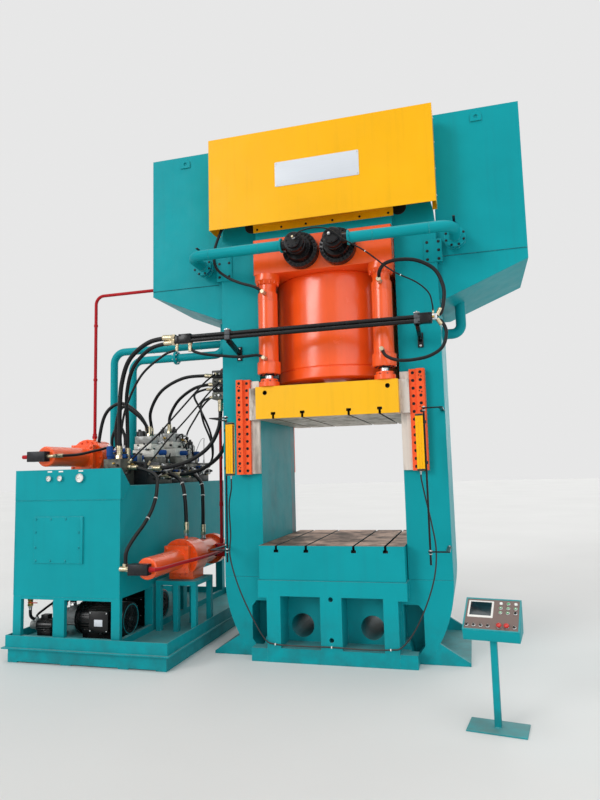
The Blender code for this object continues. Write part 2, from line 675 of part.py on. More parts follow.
def top_cover():
    out = front - COVER_OUT
    rear = out + COVER_DEPTH
    sheet = COVER_SHEET
    outline = [(out, COVER_LOW), (out, COVER_TOP), (rear, COVER_TOP), (rear, COVER_TOP - sheet),
               (out + sheet, COVER_TOP - sheet), (out + sheet, COVER_LOW)]
    cover = prism("top_cover", outline, "X", -COVER_HALF, COVER_HALF)
    for name, side in sides():
        join(cover, box("cover_side_" + name, span(side, COVER_HALF - sheet, COVER_HALF), (out, rear), (COVER_LOW, COVER_TOP)),
             box("cover_flange_" + name, span(side, COVER_HALF - COVER_FLANGE, COVER_HALF), (rear - sheet, rear),
                 (COVER_LOW, COVER_TOP)))
    web_front = front - 0.09
    lip_back = web_front - SEAT
    join(cover, box("cover_shelf", (-COVER_LIP_HALF, COVER_LIP_HALF), (out + 0.001, lip_back),
                    (COVER_LOW + COVER_LIP_RISE - sheet, COVER_LOW + COVER_LIP_RISE)),
         box("cover_lip", (-COVER_LIP_HALF, COVER_LIP_HALF), (lip_back - sheet, lip_back),
             (COVER_LOW - COVER_LIP_DROP, COVER_LOW + COVER_LIP_RISE)))
    paint(cover, "yellow")


def front_rails():
    y = front - RAIL_OUT
    z = RAIL_Z
    low = (y - 0.012, z - RAIL_PITCH)
    body = rod("front_rails", (0, y, z), "X", RAIL_R, RAIL_LEFT, RAIL_RIGHT, sides=12)
    join(body, rod("lower_rail", (0, low[0], low[1]), "X", RAIL_R, RAIL_LEFT, RAIL_RIGHT, sides=12))
    for name, side in sides():
        x = side * RAIL_BRACKET_X
        arm = [(y - 0.02, z - 0.10), (front - 0.014, z - 0.19), (front - 0.014, z - 0.14), (y + 0.02, z - 0.05)]
        join(body, box("rail_clamp_" + name, (x - 0.03, x + 0.03), (y - 0.045, y + 0.033),
                       (z - RAIL_PITCH - 0.035, z + 0.04)),
             prism("rail_arm_" + name, arm, "X", x - 0.02, x + 0.02),
             box("rail_foot_" + name, (x - 0.03, x + 0.03), (front - 0.016, front - SEAT), (z - 0.25, z - 0.09)))
    for name, x, way in (("left", RAIL_LEFT, 1), ("right", RAIL_RIGHT, -1)):
        join(body, box("rail_head_" + name, sorted((x + way * 0.001, x + way * 0.15)), (y - 0.042, y + 0.03),
                       (z - RAIL_PITCH - 0.03, z + 0.03)))
    paint(body, "black", 0.35)


def cylinder_hoses():
    y = front - RAIL_OUT
    port_y = front - RETURN_OUT - RETURN_R - SEAT
    high, low = HOSE_HIGH - 0.01, HOSE_LOW
    tee_x = RAIL_RIGHT + SEAT
    tee = box("return_hoses_right", (tee_x, tee_x + 0.05), (y - 0.03, y + 0.02), (RAIL_Z - 0.05, RAIL_Z + 0.015))
    start, bow, port = tee_x + 0.03, RAIL_RIGHT + 0.12, RETURN_X
    upper = smooth_route([
        (start, y, RAIL_Z - 0.005), (start + 0.05, y, RAIL_Z + 0.01), (bow - 0.005, y + 0.005, RAIL_Z + 0.11),
        (bow + 0.005, y + 0.01, RAIL_Z + 0.28), (bow - 0.07, y + 0.01, RAIL_Z + 0.47),
        (bow - 0.24, y + 0.005, RAIL_Z + 0.585), (port + 0.219, y, RAIL_Z + 0.615), (port + 0.079, y - 0.01, RAIL_Z + 0.585),
        (port + 0.019, y - 0.005, RAIL_Z + 0.51), (port, port_y - 0.05, high), (port, port_y, high)], 0.075)
    lower = smooth_route([
        (start, y, RAIL_Z - 0.03), (start + 0.055, y, RAIL_Z - 0.06), (bow + 0.01, y, RAIL_Z - 0.17),
        (bow - 0.03, y, RAIL_Z - 0.32), (bow - 0.16, y, RAIL_Z - 0.405), (bow - 0.34, y, RAIL_Z - 0.435),
        (port + 0.159, y, RAIL_Z - 0.425), (port + 0.049, y + 0.02, RAIL_Z - 0.37), (port, port_y - 0.05, low),
        (port, port_y, low)], 0.07)
    join(tee, solid_tube("upper_hose_right", upper, 0.019), solid_tube("lower_hose_right", lower, 0.017))
    paint(tee, "black", 0.5)

    edge = FRAME_HALF
    rise = [(-port, port_y, high), (-port, port_y - 0.04, high), (-port - 0.099, port_y - 0.05, high + 0.07),
            (-port - 0.279, port_y - 0.01, high + 0.145), (-edge + 0.155, port_y + 0.01, high + 0.23),
            (-edge + 0.025, port_y, high + 0.35), (-edge, port_y - 0.01, high + 0.51), (-edge + 0.045, port_y, high + 0.69),
            (-edge + 0.115, port_y + 0.02, high + 0.85), (-edge + 0.175, port_y + 0.08, high + 0.94),
            (-edge + 0.215, front - 0.04, high + 0.96), (-edge + 0.215, front - SEAT, high + 0.96)]
    paint(tube("return_hose_left_upper", smooth_route(rise, 0.07), 0.016), "black", 0.5)
    elbow_z = RAIL_Z - RAIL_PITCH - 0.03 - SEAT
    left = RAIL_LEFT + 0.13
    fall = [(left, y - 0.006, elbow_z), (left, y - 0.006, elbow_z - 0.03), (left + 0.03, y, elbow_z - 0.085),
            (left + 0.15, y + 0.005, elbow_z - 0.13), (left + 0.35, y + 0.03, elbow_z - 0.16),
            (-port - 0.259, y + 0.05, elbow_z - 0.185), (-port - 0.079, port_y - 0.06, low + 0.035),
            (-port, port_y - 0.045, low), (-port, port_y, low)]
    paint(tube("return_hose_left_lower", smooth_route(fall, 0.06), 0.016), "black", 0.5)

    cap = head_front - SEAT - VALVE_FLANGE - VALVE_BODY - VALVE_TURRET - VALVE_CAP - SEAT
    end = RAIL_RIGHT + 0.012
    z = PREFILL_Z
    line = [(-VALVE_X + 0.02, cap, z + 0.01), (-VALVE_X + 0.02, cap - 0.03, z + 0.01), (-0.10, cap - 0.05, z + 0.06),
            (0.05, cap - 0.055, z + 0.075), (0.20, cap - 0.05, z + 0.04), (0.33, cap - 0.01, z - 0.06),
            (0.55, front - PIPE_OUT - 0.09, z - 0.20), (end - 0.382, y - 0.08, z - 0.40), (end - 0.152, y - 0.08, z - 0.54),
            (end - 0.032, y - 0.07, z - 0.66), (end - 0.002, y - 0.045, z - 0.78), (end, y - 0.012, RAIL_Z + 0.04),
            (end, y - 0.012, RAIL_Z + 0.015 + SEAT)]
    paint(tube("pilot_hose", smooth_route(line, 0.09), 0.007), "black", 0.5)


def drain_and_transfer_pipes():
    slope = (TANK_CORNER - TANK_LOW) / (TANK_OUT - TANK_SLOPE_IN)
    wall = FRAME_HALF + SEAT
    x = wall + 0.2047
    under = TANK_LOW + (x - PIPE_R - TANK_SLOPE_IN) * slope
    y, z = front + 0.6, TANK_LOW - 0.28
    drain = solid_tube("drain_pipe_right", bent_route([
        (x, y, under + 0.10), (x, y, z), (wall + 0.002, y, z)], 0.10, 5), PIPE_R, 3)
    join(drain, rod("drain_flange", (0, y, z), "X", PIPE_R + 0.03, wall, wall + 0.02, sides=20))
    skin = [(TANK_IN - 0.05, TANK_LOW - SEAT), (TANK_SLOPE_IN, TANK_LOW - SEAT), (TANK_OUT, TANK_CORNER - SEAT),
            (TANK_OUT, TANK_TOP), (TANK_IN - 0.05, TANK_TOP)]
    cut(drain, prism("drain_trim", skin, "Y", y - 0.2, y + 0.2))
    paint(drain, "teal")

    unit_top = UNIT_TANK_TOP + SEAT
    high_z, low_z, r = TANK_LOW - 0.11, TANK_LOW - 0.31, 0.05
    y_high, y_low = front + 0.9, front + 0.6
    far_x, near_x = UNIT_LEFT + 0.25, UNIT_RIGHT - 0.60
    upper = solid_tube("transfer_pipe_upper", bent_route([
        (-wall - 0.009, y_high, high_z), (far_x, y_high, high_z), (far_x, y_high, unit_top + 0.009)], 0.16, 5), r, 3)
    join(upper, rod("upper_wall_flange", (0, y_high, high_z), "X", r + 0.035, -wall - 0.02, -wall, sides=20),
         rod("upper_foot_flange", (far_x, y_high, 0), "Z", r + 0.035, unit_top, unit_top + 0.02, sides=20))
    paint(upper, "teal")
    lower = solid_tube("transfer_pipe_lower", bent_route([
        (-x - 0.01, y_low, under + 0.10), (-x - 0.01, y_low, low_z), (near_x, y_low, low_z),
        (near_x, y_low, unit_top + 0.009)], 0.14, 6), r, 2)
    join(lower, rod("lower_joint", (0, y_low, low_z), "X", r + 0.035, UNIT_RIGHT + 0.01, UNIT_RIGHT + 0.05, sides=20),
         rod("lower_foot_flange", (near_x, y_low, 0), "Z", r + 0.035, unit_top, unit_top + 0.02, sides=20))
    mirror_skin = [(-a, b) for a, b in skin]
    cut(lower, prism("transfer_trim", mirror_skin, "Y", y_low - 0.2, y_low + 0.2))
    paint(lower, "teal")


def light_curtains():
    y = front - CURTAIN_OUT
    for name, side in sides():
        inner = CURTAIN_X - CURTAIN_WIDE / 2
        top = CURTAIN_LOW + CURTAIN_HEIGHT
        bar = box("light_curtain_" + name, span(side, inner, inner + CURTAIN_WIDE),
                  (y - CURTAIN_DEEP / 2, y + CURTAIN_DEEP / 2), (CURTAIN_LOW, top))
        cut(bar, box("lens_slot_" + name, span(side, inner - 0.01, inner + 0.004), (y - 0.018, y + 0.018),
                     (CURTAIN_LOW + 0.03, top - 0.03)))
        paint(bar, "yellow")
        stand = rod("curtain_stand_" + name, (side * STAND_ROD_X, y, 0), "Z", STAND_ROD_R, STAND_LOW, STAND_HIGH, sides=12)
        for level in (STAND_LOW_BAR, STAND_HIGH_BAR):
            inner, outer = STAND_ROD_X - 0.02, FRAME_HALF - 0.005
            plan = [(side * a, b) for a, b in [
                (outer, front - SEAT), (outer - 0.04, front - SEAT), (outer - 0.04, y + 0.02), (inner, y + 0.02),
                (inner, y - 0.02), (outer, y - 0.02)]]
            join(stand, prism("stand_bar_%s_%d" % (name, level * 100), plan, "Z", level, level + STAND_BAR))
        paint(stand, "black", 0.5)

    r = 0.006
    run_y = bed_front - r - 0.0025
    foot = CURTAIN_LOW - SEAT
    plug, hang = CURTAIN_X - 0.0074, y + 0.16
    line = [(plug, y, foot), (plug, y, foot - 0.07), (plug + 0.025, y + 0.05, 1.70), (plug + 0.07, y + 0.12, 1.43),
            (plug + 0.10, hang, 1.18), (plug + 0.078, hang, 0.93), (plug - 0.002, hang, 0.67), (plug - 0.13, hang, 0.40),
            (BED_CHEEK + 0.025, y + 0.18, 0.215), (BED_CHEEK - 0.09, run_y, 0.183), (0.33, run_y, 0.172),
            (0.0, run_y, 0.180), (-0.33, run_y, 0.176), (-BED_CHEEK + 0.09, run_y, 0.184),
            (-BED_CHEEK - 0.02, y + 0.18, 0.235), (-plug + 0.138, hang, 0.48), (-plug - 0.003, hang, 0.78),
            (-plug - 0.089, hang, 1.08), (-plug - 0.075, y + 0.15, 1.31), (-plug - 0.06, y + 0.08, 1.62),
            (-plug - 0.005, y + 0.01, 1.80), (-plug, y, foot - 0.06), (-plug, y, foot)]
    paint(tube("curtain_cable", smooth_route(line, 0.15), r), "black", 0.5)


def power_unit_base():
    left, right = UNIT_LEFT - TRAY_SIDE, TRAY_RIGHT
    near, far = UNIT_FRONT - TRAY_SIDE, UNIT_BACK + TRAY_SIDE
    tray = box("unit_base", (left, right), (near, far), (TRAY_LOW, TRAY_TOP))
    cut(tray, box("tray_hollow", (left + TRAY_RIM, right - TRAY_RIM), (near + TRAY_RIM, far - TRAY_RIM),
                  (TRAY_FLOOR, TRAY_TOP + 0.05)))
    join(tray, box("tray_lip", (left - TRAY_LIP, right + TRAY_LIP), (near - TRAY_LIP, far + TRAY_LIP),
                   (TRAY_LOW - 0.001, TRAY_LOW + TRAY_LIP_THICK)))
    for i, x in enumerate((left + CHANNEL_INSET, (left + UNIT_RIGHT) / 2, UNIT_RIGHT, right - CHANNEL_INSET - CHANNEL_WIDE)):
        join(tray, box("channel_%d" % i, (x, x + CHANNEL_WIDE), (near + CHANNEL_INSET, far - CHANNEL_INSET), (0, TRAY_LOW + 0.01)))
    for i, y in enumerate((near + CHANNEL_INSET, far - CHANNEL_INSET - 0.08)):
        join(tray, box("end_channel_%d" % i, (left + CHANNEL_INSET, right - CHANNEL_INSET), (y, y + 0.08), (0.012, TRAY_LOW + 0.01)))
    low = TRAY_FLOOR - 0.005
    top = UNIT_TANK_LOW - SEAT
    middle = (UNIT_LEFT + UNIT_RIGHT) / 2 - 0.15
    for i, (x, wide) in enumerate(((UNIT_LEFT, POST), (middle, POST + 0.04), (UNIT_RIGHT - POST, POST))):
        for j, y in enumerate((UNIT_FRONT, -0.65, 0.15, UNIT_BACK - POST)):
            deep = 0.05 if j == 0 else POST
            join(tray, box("post_%d_%d" % (i, j), (x, x + wide), (y, y + deep), (low, top)))
    join(tray, box("sill_front", (UNIT_LEFT + 0.001, UNIT_RIGHT - 0.001), (UNIT_FRONT + 0.001, UNIT_FRONT + 0.049), (low, 0.27)),
         box("sill_right", (UNIT_RIGHT - 0.049, UNIT_RIGHT - 0.001), (UNIT_FRONT + 0.002, UNIT_BACK - 0.002), (low, 0.27)),
         box("head_rail_front", (UNIT_LEFT + 0.001, UNIT_RIGHT - 0.001), (UNIT_FRONT + 0.001, UNIT_FRONT + 0.049), (top - 0.03, top - 0.0005)))
    inner, outer = UNIT_RIGHT + 0.04, TRAY_RIGHT - TRAY_RIM - 0.02
    near, far = front + 0.02, front + 0.50
    for i, x in enumerate((inner, (inner + outer - STAND_LEG) / 2, outer - STAND_LEG)):
        for j, y in enumerate((near, far - STAND_LEG)):
            join(tray, box("stand_leg_%d_%d" % (i, j), (x, x + STAND_LEG), (y, y + STAND_LEG), (low, STAND_TOP - 0.02)))
    join(tray, box("stand_top", (inner - 0.001, outer + 0.001), (near - 0.001, far + 0.001), (STAND_TOP - 0.05, STAND_TOP)))
    paint(tray, "teal")


def power_unit_tank():
    body = box("unit_tank", (UNIT_LEFT, UNIT_RIGHT), (UNIT_FRONT, UNIT_BACK), (UNIT_TANK_LOW, UNIT_TANK_TOP))
    wedge = [(UNIT_FRONT - 0.004, SPLASH_LOW), (UNIT_FRONT - 0.004, SPLASH_TOP), (UNIT_FRONT + 0.01, SPLASH_TOP),
             (UNIT_FRONT + SPLASH_DEPTH, UNIT_TANK_TOP - 0.003), (UNIT_FRONT + 0.05, SPLASH_LOW)]
    join(body, prism("splash_panel", wedge, "X", UNIT_LEFT - 0.001, UNIT_RIGHT + 0.006),
         box("hatch", (HATCH_LEFT, HATCH_RIGHT), (UNIT_FRONT - HATCH_THICK, UNIT_FRONT + 0.004), (HATCH_LOW, HATCH_HIGH)))
    gauge_z = (UNIT_TANK_TOP + SPLASH_TOP) / 2 + 0.0025
    for i, (x, r) in enumerate(((UNIT_LEFT + 0.44, 0.030), (UNIT_LEFT + 0.58, 0.030), (UNIT_LEFT + 0.83, 0.046))):
        join(body, rod("gauge_%d" % i, (x, 0, gauge_z), "Y", r, UNIT_FRONT - 0.022, UNIT_FRONT + 0.004, sides=20))
    paint(body, "teal")


def booster(name, x, z, seat_z, rear):
    """Pressure booster that lies along Y: ram barrel, square plate, flanged body and an optional rear barrel."""
    nose = UNIT_FRONT + 0.02
    plate = nose + 0.68
    body = plate + 0.10
    port_y = body + 0.165
    profile = [(0, nose), (BOOSTER_R - 0.012, nose), (BOOSTER_R, nose + 0.012), (BOOSTER_R, body),
               (BOOSTER_FLANGE_R, body), (BOOSTER_FLANGE_R, body + 0.06), (BOOSTER_FLANGE_R - 0.012, body + 0.06),
               (BOOSTER_FLANGE_R - 0.012, body + 0.33)]
    end = body + 0.33
    if rear:
        profile += [(BOOSTER_REAR_R, end), (BOOSTER_REAR_R, end + 0.55), (BOOSTER_REAR_R + 0.04, end + 0.55),
                    (BOOSTER_REAR_R + 0.04, end + 0.65)]
        end += 0.65
    profile.append((0, end))
    unit = turned(name, profile, (x, 0, z), "Y", 24)
    half = 0.15
    top = z + BOOSTER_FLANGE_R
    join(unit, box(name + "_plate", (x - half, x + half), (plate, plate + 0.06), (z - half, z + half)),
         box(name + "_block", (x - 0.17, x + 0.055), (nose - 0.09, nose + 0.02), (z - 0.055, z + 0.055)),
         box(name + "_saddle", (x - 0.15, x + 0.15), (body + 0.02, body + 0.31), (seat_z + SEAT, z - 0.1)),
         rod(name + "_port", (x, port_y, 0), "Z", BOOSTER_PORT_R, top - 0.03, top + BOOSTER_PORT_HIGH, sides=8))
    if rear:
        pipe = solid_tube(name + "_pipe", smooth_route([
            (x + 0.05, nose - 0.035, z), (x + 0.11, nose - 0.035, z), (x + 0.15, nose + 0.06, z),
            (x + 0.19, nose + 0.35, z + 0.005), (x + 0.26, nose + 0.75, z + 0.01), (x + 0.27, nose + 1.2, z + 0.01),
            (x + 0.25, nose + 1.55, z + 0.01), (x + 0.14, nose + 1.72, z + 0.005), (x + 0.08, nose + 1.72, z)],
            0.18), 0.017)
        riser_x, riser_y = x + 0.20, nose + 1.55
        riser = solid_tube(name + "_riser", bent_route([
            (riser_x, riser_y, z), (riser_x, riser_y, RISER_Z), (-FRAME_HALF - SEAT - 0.006, riser_y, RISER_Z)], 0.09, 4),
            RED_PIPE_R)
        join(unit, pipe, riser,
             box(name + "_riser_block", (x + 0.13, x + 0.30), (riser_y - 0.065, riser_y + 0.065), (z - 0.07, z + 0.08)),
             rod(name + "_riser_flange", (0, riser_y, RISER_Z), "X", RED_PIPE_R + 0.022, -FRAME_HALF - SEAT - 0.014,
                 -FRAME_HALF - SEAT, sides=12),
             rod(name + "_rear_port", (x, REAR_PORT_Y, 0), "Z", BOOSTER_PORT_R, z + BOOSTER_REAR_R - 0.03,
                 z + BOOSTER_REAR_R + BOOSTER_PORT_HIGH, sides=8))
    else:
        wall = -TANK_OUT - SEAT
        join(unit, solid_tube(name + "_pipe", bent_route([
            (x, port_y, top + 0.02), (x, port_y, RED_PIPE_Z), (wall - 0.006, port_y, RED_PIPE_Z)], 0.11, 4), RED_PIPE_R),
            rod(name + "_pipe_flange", (0, port_y, RED_PIPE_Z), "X", RED_PIPE_R + 0.022, wall - 0.014, wall, sides=12))
    paint(unit, "orange")


def valve_gear():
    top = UNIT_TANK_TOP + SEAT
    wall = UNIT_RIGHT - 0.10
    gear = box("valve_manifold", (wall - 0.34, wall), (-0.62, 1.20), (top, top + 0.2647))
    join(gear, box("port_block", (wall - 0.38, wall - 0.16), (-0.92, -0.60), (top, top + 0.3047)),
         box("header", (wall - 0.61, wall - 0.33), (-0.52, -0.40), (top, top + 0.1647)))
    deck = top + 0.2647
    stacks = ((0.28, 0.04, -0.42, -0.10, 0.32, (0.22, -0.34)), (0.32, 0.01, 0.10, 0.44, 0.38, (0.22, 0.34)),
              (0.26, 0.06, 0.64, 0.90, 0.24, (0.16, 0.83)))
    for i, (inner, outer, near, far, tall, (coil_x, coil_y)) in enumerate(stacks):
        left, right = wall - inner, wall - outer
        join(gear, box("valve_stack_%d" % i, (left, right), (near, far), (deck - 0.01, deck + tall)),
             box("valve_shoulder_%d" % i, (left - 0.03, right + 0.03), (near + 0.03, far - 0.03),
                 (deck - 0.01, deck - 0.01 + (tall + 0.01) * 0.55)),
             rod("solenoid_%d" % i, (wall - coil_x, coil_y, 0), "Z", 0.045, deck + tall - 0.01, deck + tall + 0.07,
                 sides=10),
             rod("side_coil_%d" % i, (0, (near + far) / 2, deck + 0.12), "X", 0.034, right - 0.01, right + 0.12, sides=8))
    loop_a = smooth_route([
        (wall - 0.56, -0.46, deck - 0.11), (wall - 0.56, -0.46, deck + 0.13), (wall - 0.55, -0.46, deck + 0.33),
        (wall - 0.47, -0.45, deck + 0.46), (wall - 0.39, -0.45, deck + 0.33), (wall - 0.38, -0.46, deck + 0.13),
        (wall - 0.38, -0.46, deck - 0.11)], 0.08)
    loop_b = smooth_route([
        (wall - 0.47, -0.46, deck - 0.11), (wall - 0.47, -0.47, deck + 0.10), (wall - 0.48, -0.50, deck + 0.43),
        (wall - 0.38, -0.52, deck + 0.68), (wall - 0.21, -0.46, deck + 0.58), (wall - 0.12, -0.38, deck + 0.43),
        (wall - 0.10, -0.36, deck + 0.31)], 0.08)
    x, z, nose = LOW_BOOSTER_X, LOW_BOOSTER_Z, UNIT_FRONT + 0.02
    port_y = nose + 0.945
    end = z + BOOSTER_FLANGE_R + BOOSTER_PORT_HIGH + SEAT
    rear_end = z + BOOSTER_REAR_R + BOOSTER_PORT_HIGH + SEAT
    elbow_y = nose - 0.035
    hose_a = smooth_route([
        (x, port_y, end), (x, port_y, end + 0.13), (x - 0.02, port_y + 0.015, end + 0.38),
        (x - 0.08, port_y + 0.055, end + 0.59), (x - 0.22, port_y + 0.095, top + 0.10), (x - 0.33, port_y + 0.115, top + 0.10),
        (wall - 0.01, port_y + 0.115, top + 0.10)], 0.12)
    hose_b = smooth_route([
        (x, REAR_PORT_Y, rear_end), (x, REAR_PORT_Y, rear_end + 0.14), (x - 0.01, REAR_PORT_Y + 0.02, rear_end + 0.40),
        (x - 0.06, REAR_PORT_Y + 0.10, rear_end + 0.63), (x - 0.20, REAR_PORT_Y + 0.17, top + 0.095),
        (x - 0.32, REAR_PORT_Y + 0.20, top + 0.095), (wall - 0.01, REAR_PORT_Y + 0.20, top + 0.095)], 0.12)
    hose_c = smooth_route([
        (x - 0.17 - SEAT, elbow_y, z), (x - 0.21, elbow_y, z), (x - 0.225, elbow_y, z + 0.08), (x - 0.215, elbow_y + 0.01, z + 0.19),
        (x - 0.17, elbow_y + 0.09, z + 0.32), (x - 0.14, elbow_y + 0.23, z + 0.44), (x - 0.13, elbow_y + 0.40, z + 0.60),
        (x - 0.14, elbow_y + 0.52, z + 0.80), (x - 0.22, elbow_y + 0.62, z + 0.97), (wall - 0.08, elbow_y + 0.62, z + 1.06),
        (wall - 0.17, elbow_y + 0.61, z + 1.06)], 0.12)
    join(gear, solid_tube("loop_a", loop_a, 0.018), solid_tube("loop_b", loop_b, 0.020),
         solid_tube("booster_hose_a", hose_a, 0.022), solid_tube("booster_hose_b", hose_b, 0.022),
         solid_tube("booster_hose_c", hose_c, 0.020))
    paint(gear, "grey", 0.5)

    y = front - RAIL_OUT
    block_left = -FRAME_HALF - 0.265
    block = box("hose_manifold", (block_left, -FRAME_HALF - SEAT), (-0.37, -0.07), (2.85, 3.20))
    start, reach = block_left + 0.01, wall + 0.0003
    runs = {
        "manifold_hose_a": ([(start, -0.30, 3.14), (start - 0.13, -0.30, 3.155), (start - 0.43, -0.30, 3.14),
                             (wall + 0.02, -0.28, 3.0), (wall - 0.16, -0.22, 2.76), (wall - 0.18, -0.16, 2.55),
                             (wall - 0.18, -0.16, deck + 0.3203)], 0.020),
        "manifold_hose_b": ([(start, -0.20, 3.05), (start - 0.13, -0.18, 3.06), (start - 0.39, -0.06, 3.04),
                             (wall + 0.08, 0.08, 2.92), (wall - 0.08, 0.16, 2.74), (wall - 0.10, 0.17, 2.60),
                             (wall - 0.10, 0.17, deck + 0.3803)], 0.020),
        "manifold_hose_c": ([(start + 0.07, -0.30, 2.86), (start + 0.07, -0.30, 2.72), (start + 0.04, -0.30, 2.5),
                             (start - 0.09, -0.31, 2.28), (start - 0.33, -0.35, 2.12), (wall + 0.16, -0.45, 2.05),
                             (wall + 0.07, -0.52, 2.045), (reach, -0.52, 2.045)], 0.024),
        "manifold_hose_d": ([(start + 0.14, -0.15, 2.86), (start + 0.14, -0.15, 2.70), (start + 0.10, -0.14, 2.45),
                             (start - 0.03, -0.08, 2.2), (start - 0.27, -0.02, 2.04), (wall + 0.24, 0.0, 1.97),
                             (wall + 0.10, 0.0, 1.96), (reach, 0.0, 1.96)], 0.024),
        "manifold_hose_e": ([(start, -0.12, 2.93), (start - 0.11, -0.10, 2.92), (start - 0.31, 0.06, 2.84),
                             (wall + 0.16, 0.38, 2.68), (wall - 0.02, 0.60, 2.58), (wall - 0.10, 0.69, 2.50),
                             (wall - 0.11, 0.70, 2.42), (wall - 0.11, 0.70, deck + 0.2403)], 0.012),
    }
    for name, (points, r) in runs.items():
        join(block, solid_tube(name, smooth_route(points, 0.13), r))
    paint(block, "black", 0.5)

    end = RAIL_LEFT - SEAT
    tee = box("rail_hoses", (end - 0.05, end), (y - 0.03, y + 0.02), (RAIL_Z - 0.075, RAIL_Z + 0.015))
    port_top = top + 0.3047 + SEAT
    x = wall - 0.24
    first = smooth_route([
        (end - 0.03, y, RAIL_Z), (end - 0.12, y, RAIL_Z + 0.005), (x + 0.48, y + 0.03, RAIL_Z - 0.02),
        (x + 0.20, y + 0.10, RAIL_Z - 0.18), (x + 0.06, y + 0.16, RAIL_Z - 0.45), (x + 0.01, y + 0.20, 2.70),
        (x, y + 0.21, 2.40), (x, y + 0.21, port_top)], 0.11)
    x += 0.04
    second = smooth_route([
        (end - 0.03, y - 0.008, RAIL_Z - 0.05), (end - 0.12, y - 0.01, RAIL_Z - 0.055), (x + 0.46, y + 0.02, RAIL_Z - 0.10),
        (x + 0.20, y + 0.11, RAIL_Z - 0.28), (x + 0.06, y + 0.21, RAIL_Z - 0.55), (x + 0.01, y + 0.30, 2.66),
        (x, y + 0.33, 2.40), (x, y + 0.33, port_top)], 0.11)
    join(tee, solid_tube("supply_hose_a", first, 0.026), solid_tube("supply_hose_b", second, 0.022))
    paint(tee, "black", 0.5)


def pump_motors():
    floor = TRAY_FLOOR + SEAT
    for name, y in (("front", UNIT_FRONT + 0.32), ("rear", UNIT_FRONT + 1.05)):
        right = UNIT_RIGHT - 0.06
        left = right - MOTOR_LENGTH
        motor = rod("pump_motor_" + name, (0, y, MOTOR_Z), "X", MOTOR_R, left, right, sides=24)
        join(motor, rod("motor_flange_" + name, (0, y, MOTOR_Z), "X", MOTOR_R + 0.018, left - 0.02, left + 0.015, sides=24),
             rod("pump_" + name, (0, y, MOTOR_Z), "X", 0.085, left - 0.26, left - 0.01, sides=20),
             box("motor_feet_" + name, (left + 0.06, right - 0.10), (y - 0.14, y + 0.14), (floor, MOTOR_Z - 0.1)),
             box("terminal_box_" + name, (left + 0.20, left + 0.42), (y - MOTOR_R - 0.055, y - 0.1), (MOTOR_Z - 0.10, MOTOR_Z + 0.11)))
        paint(motor, "black", 0.5)


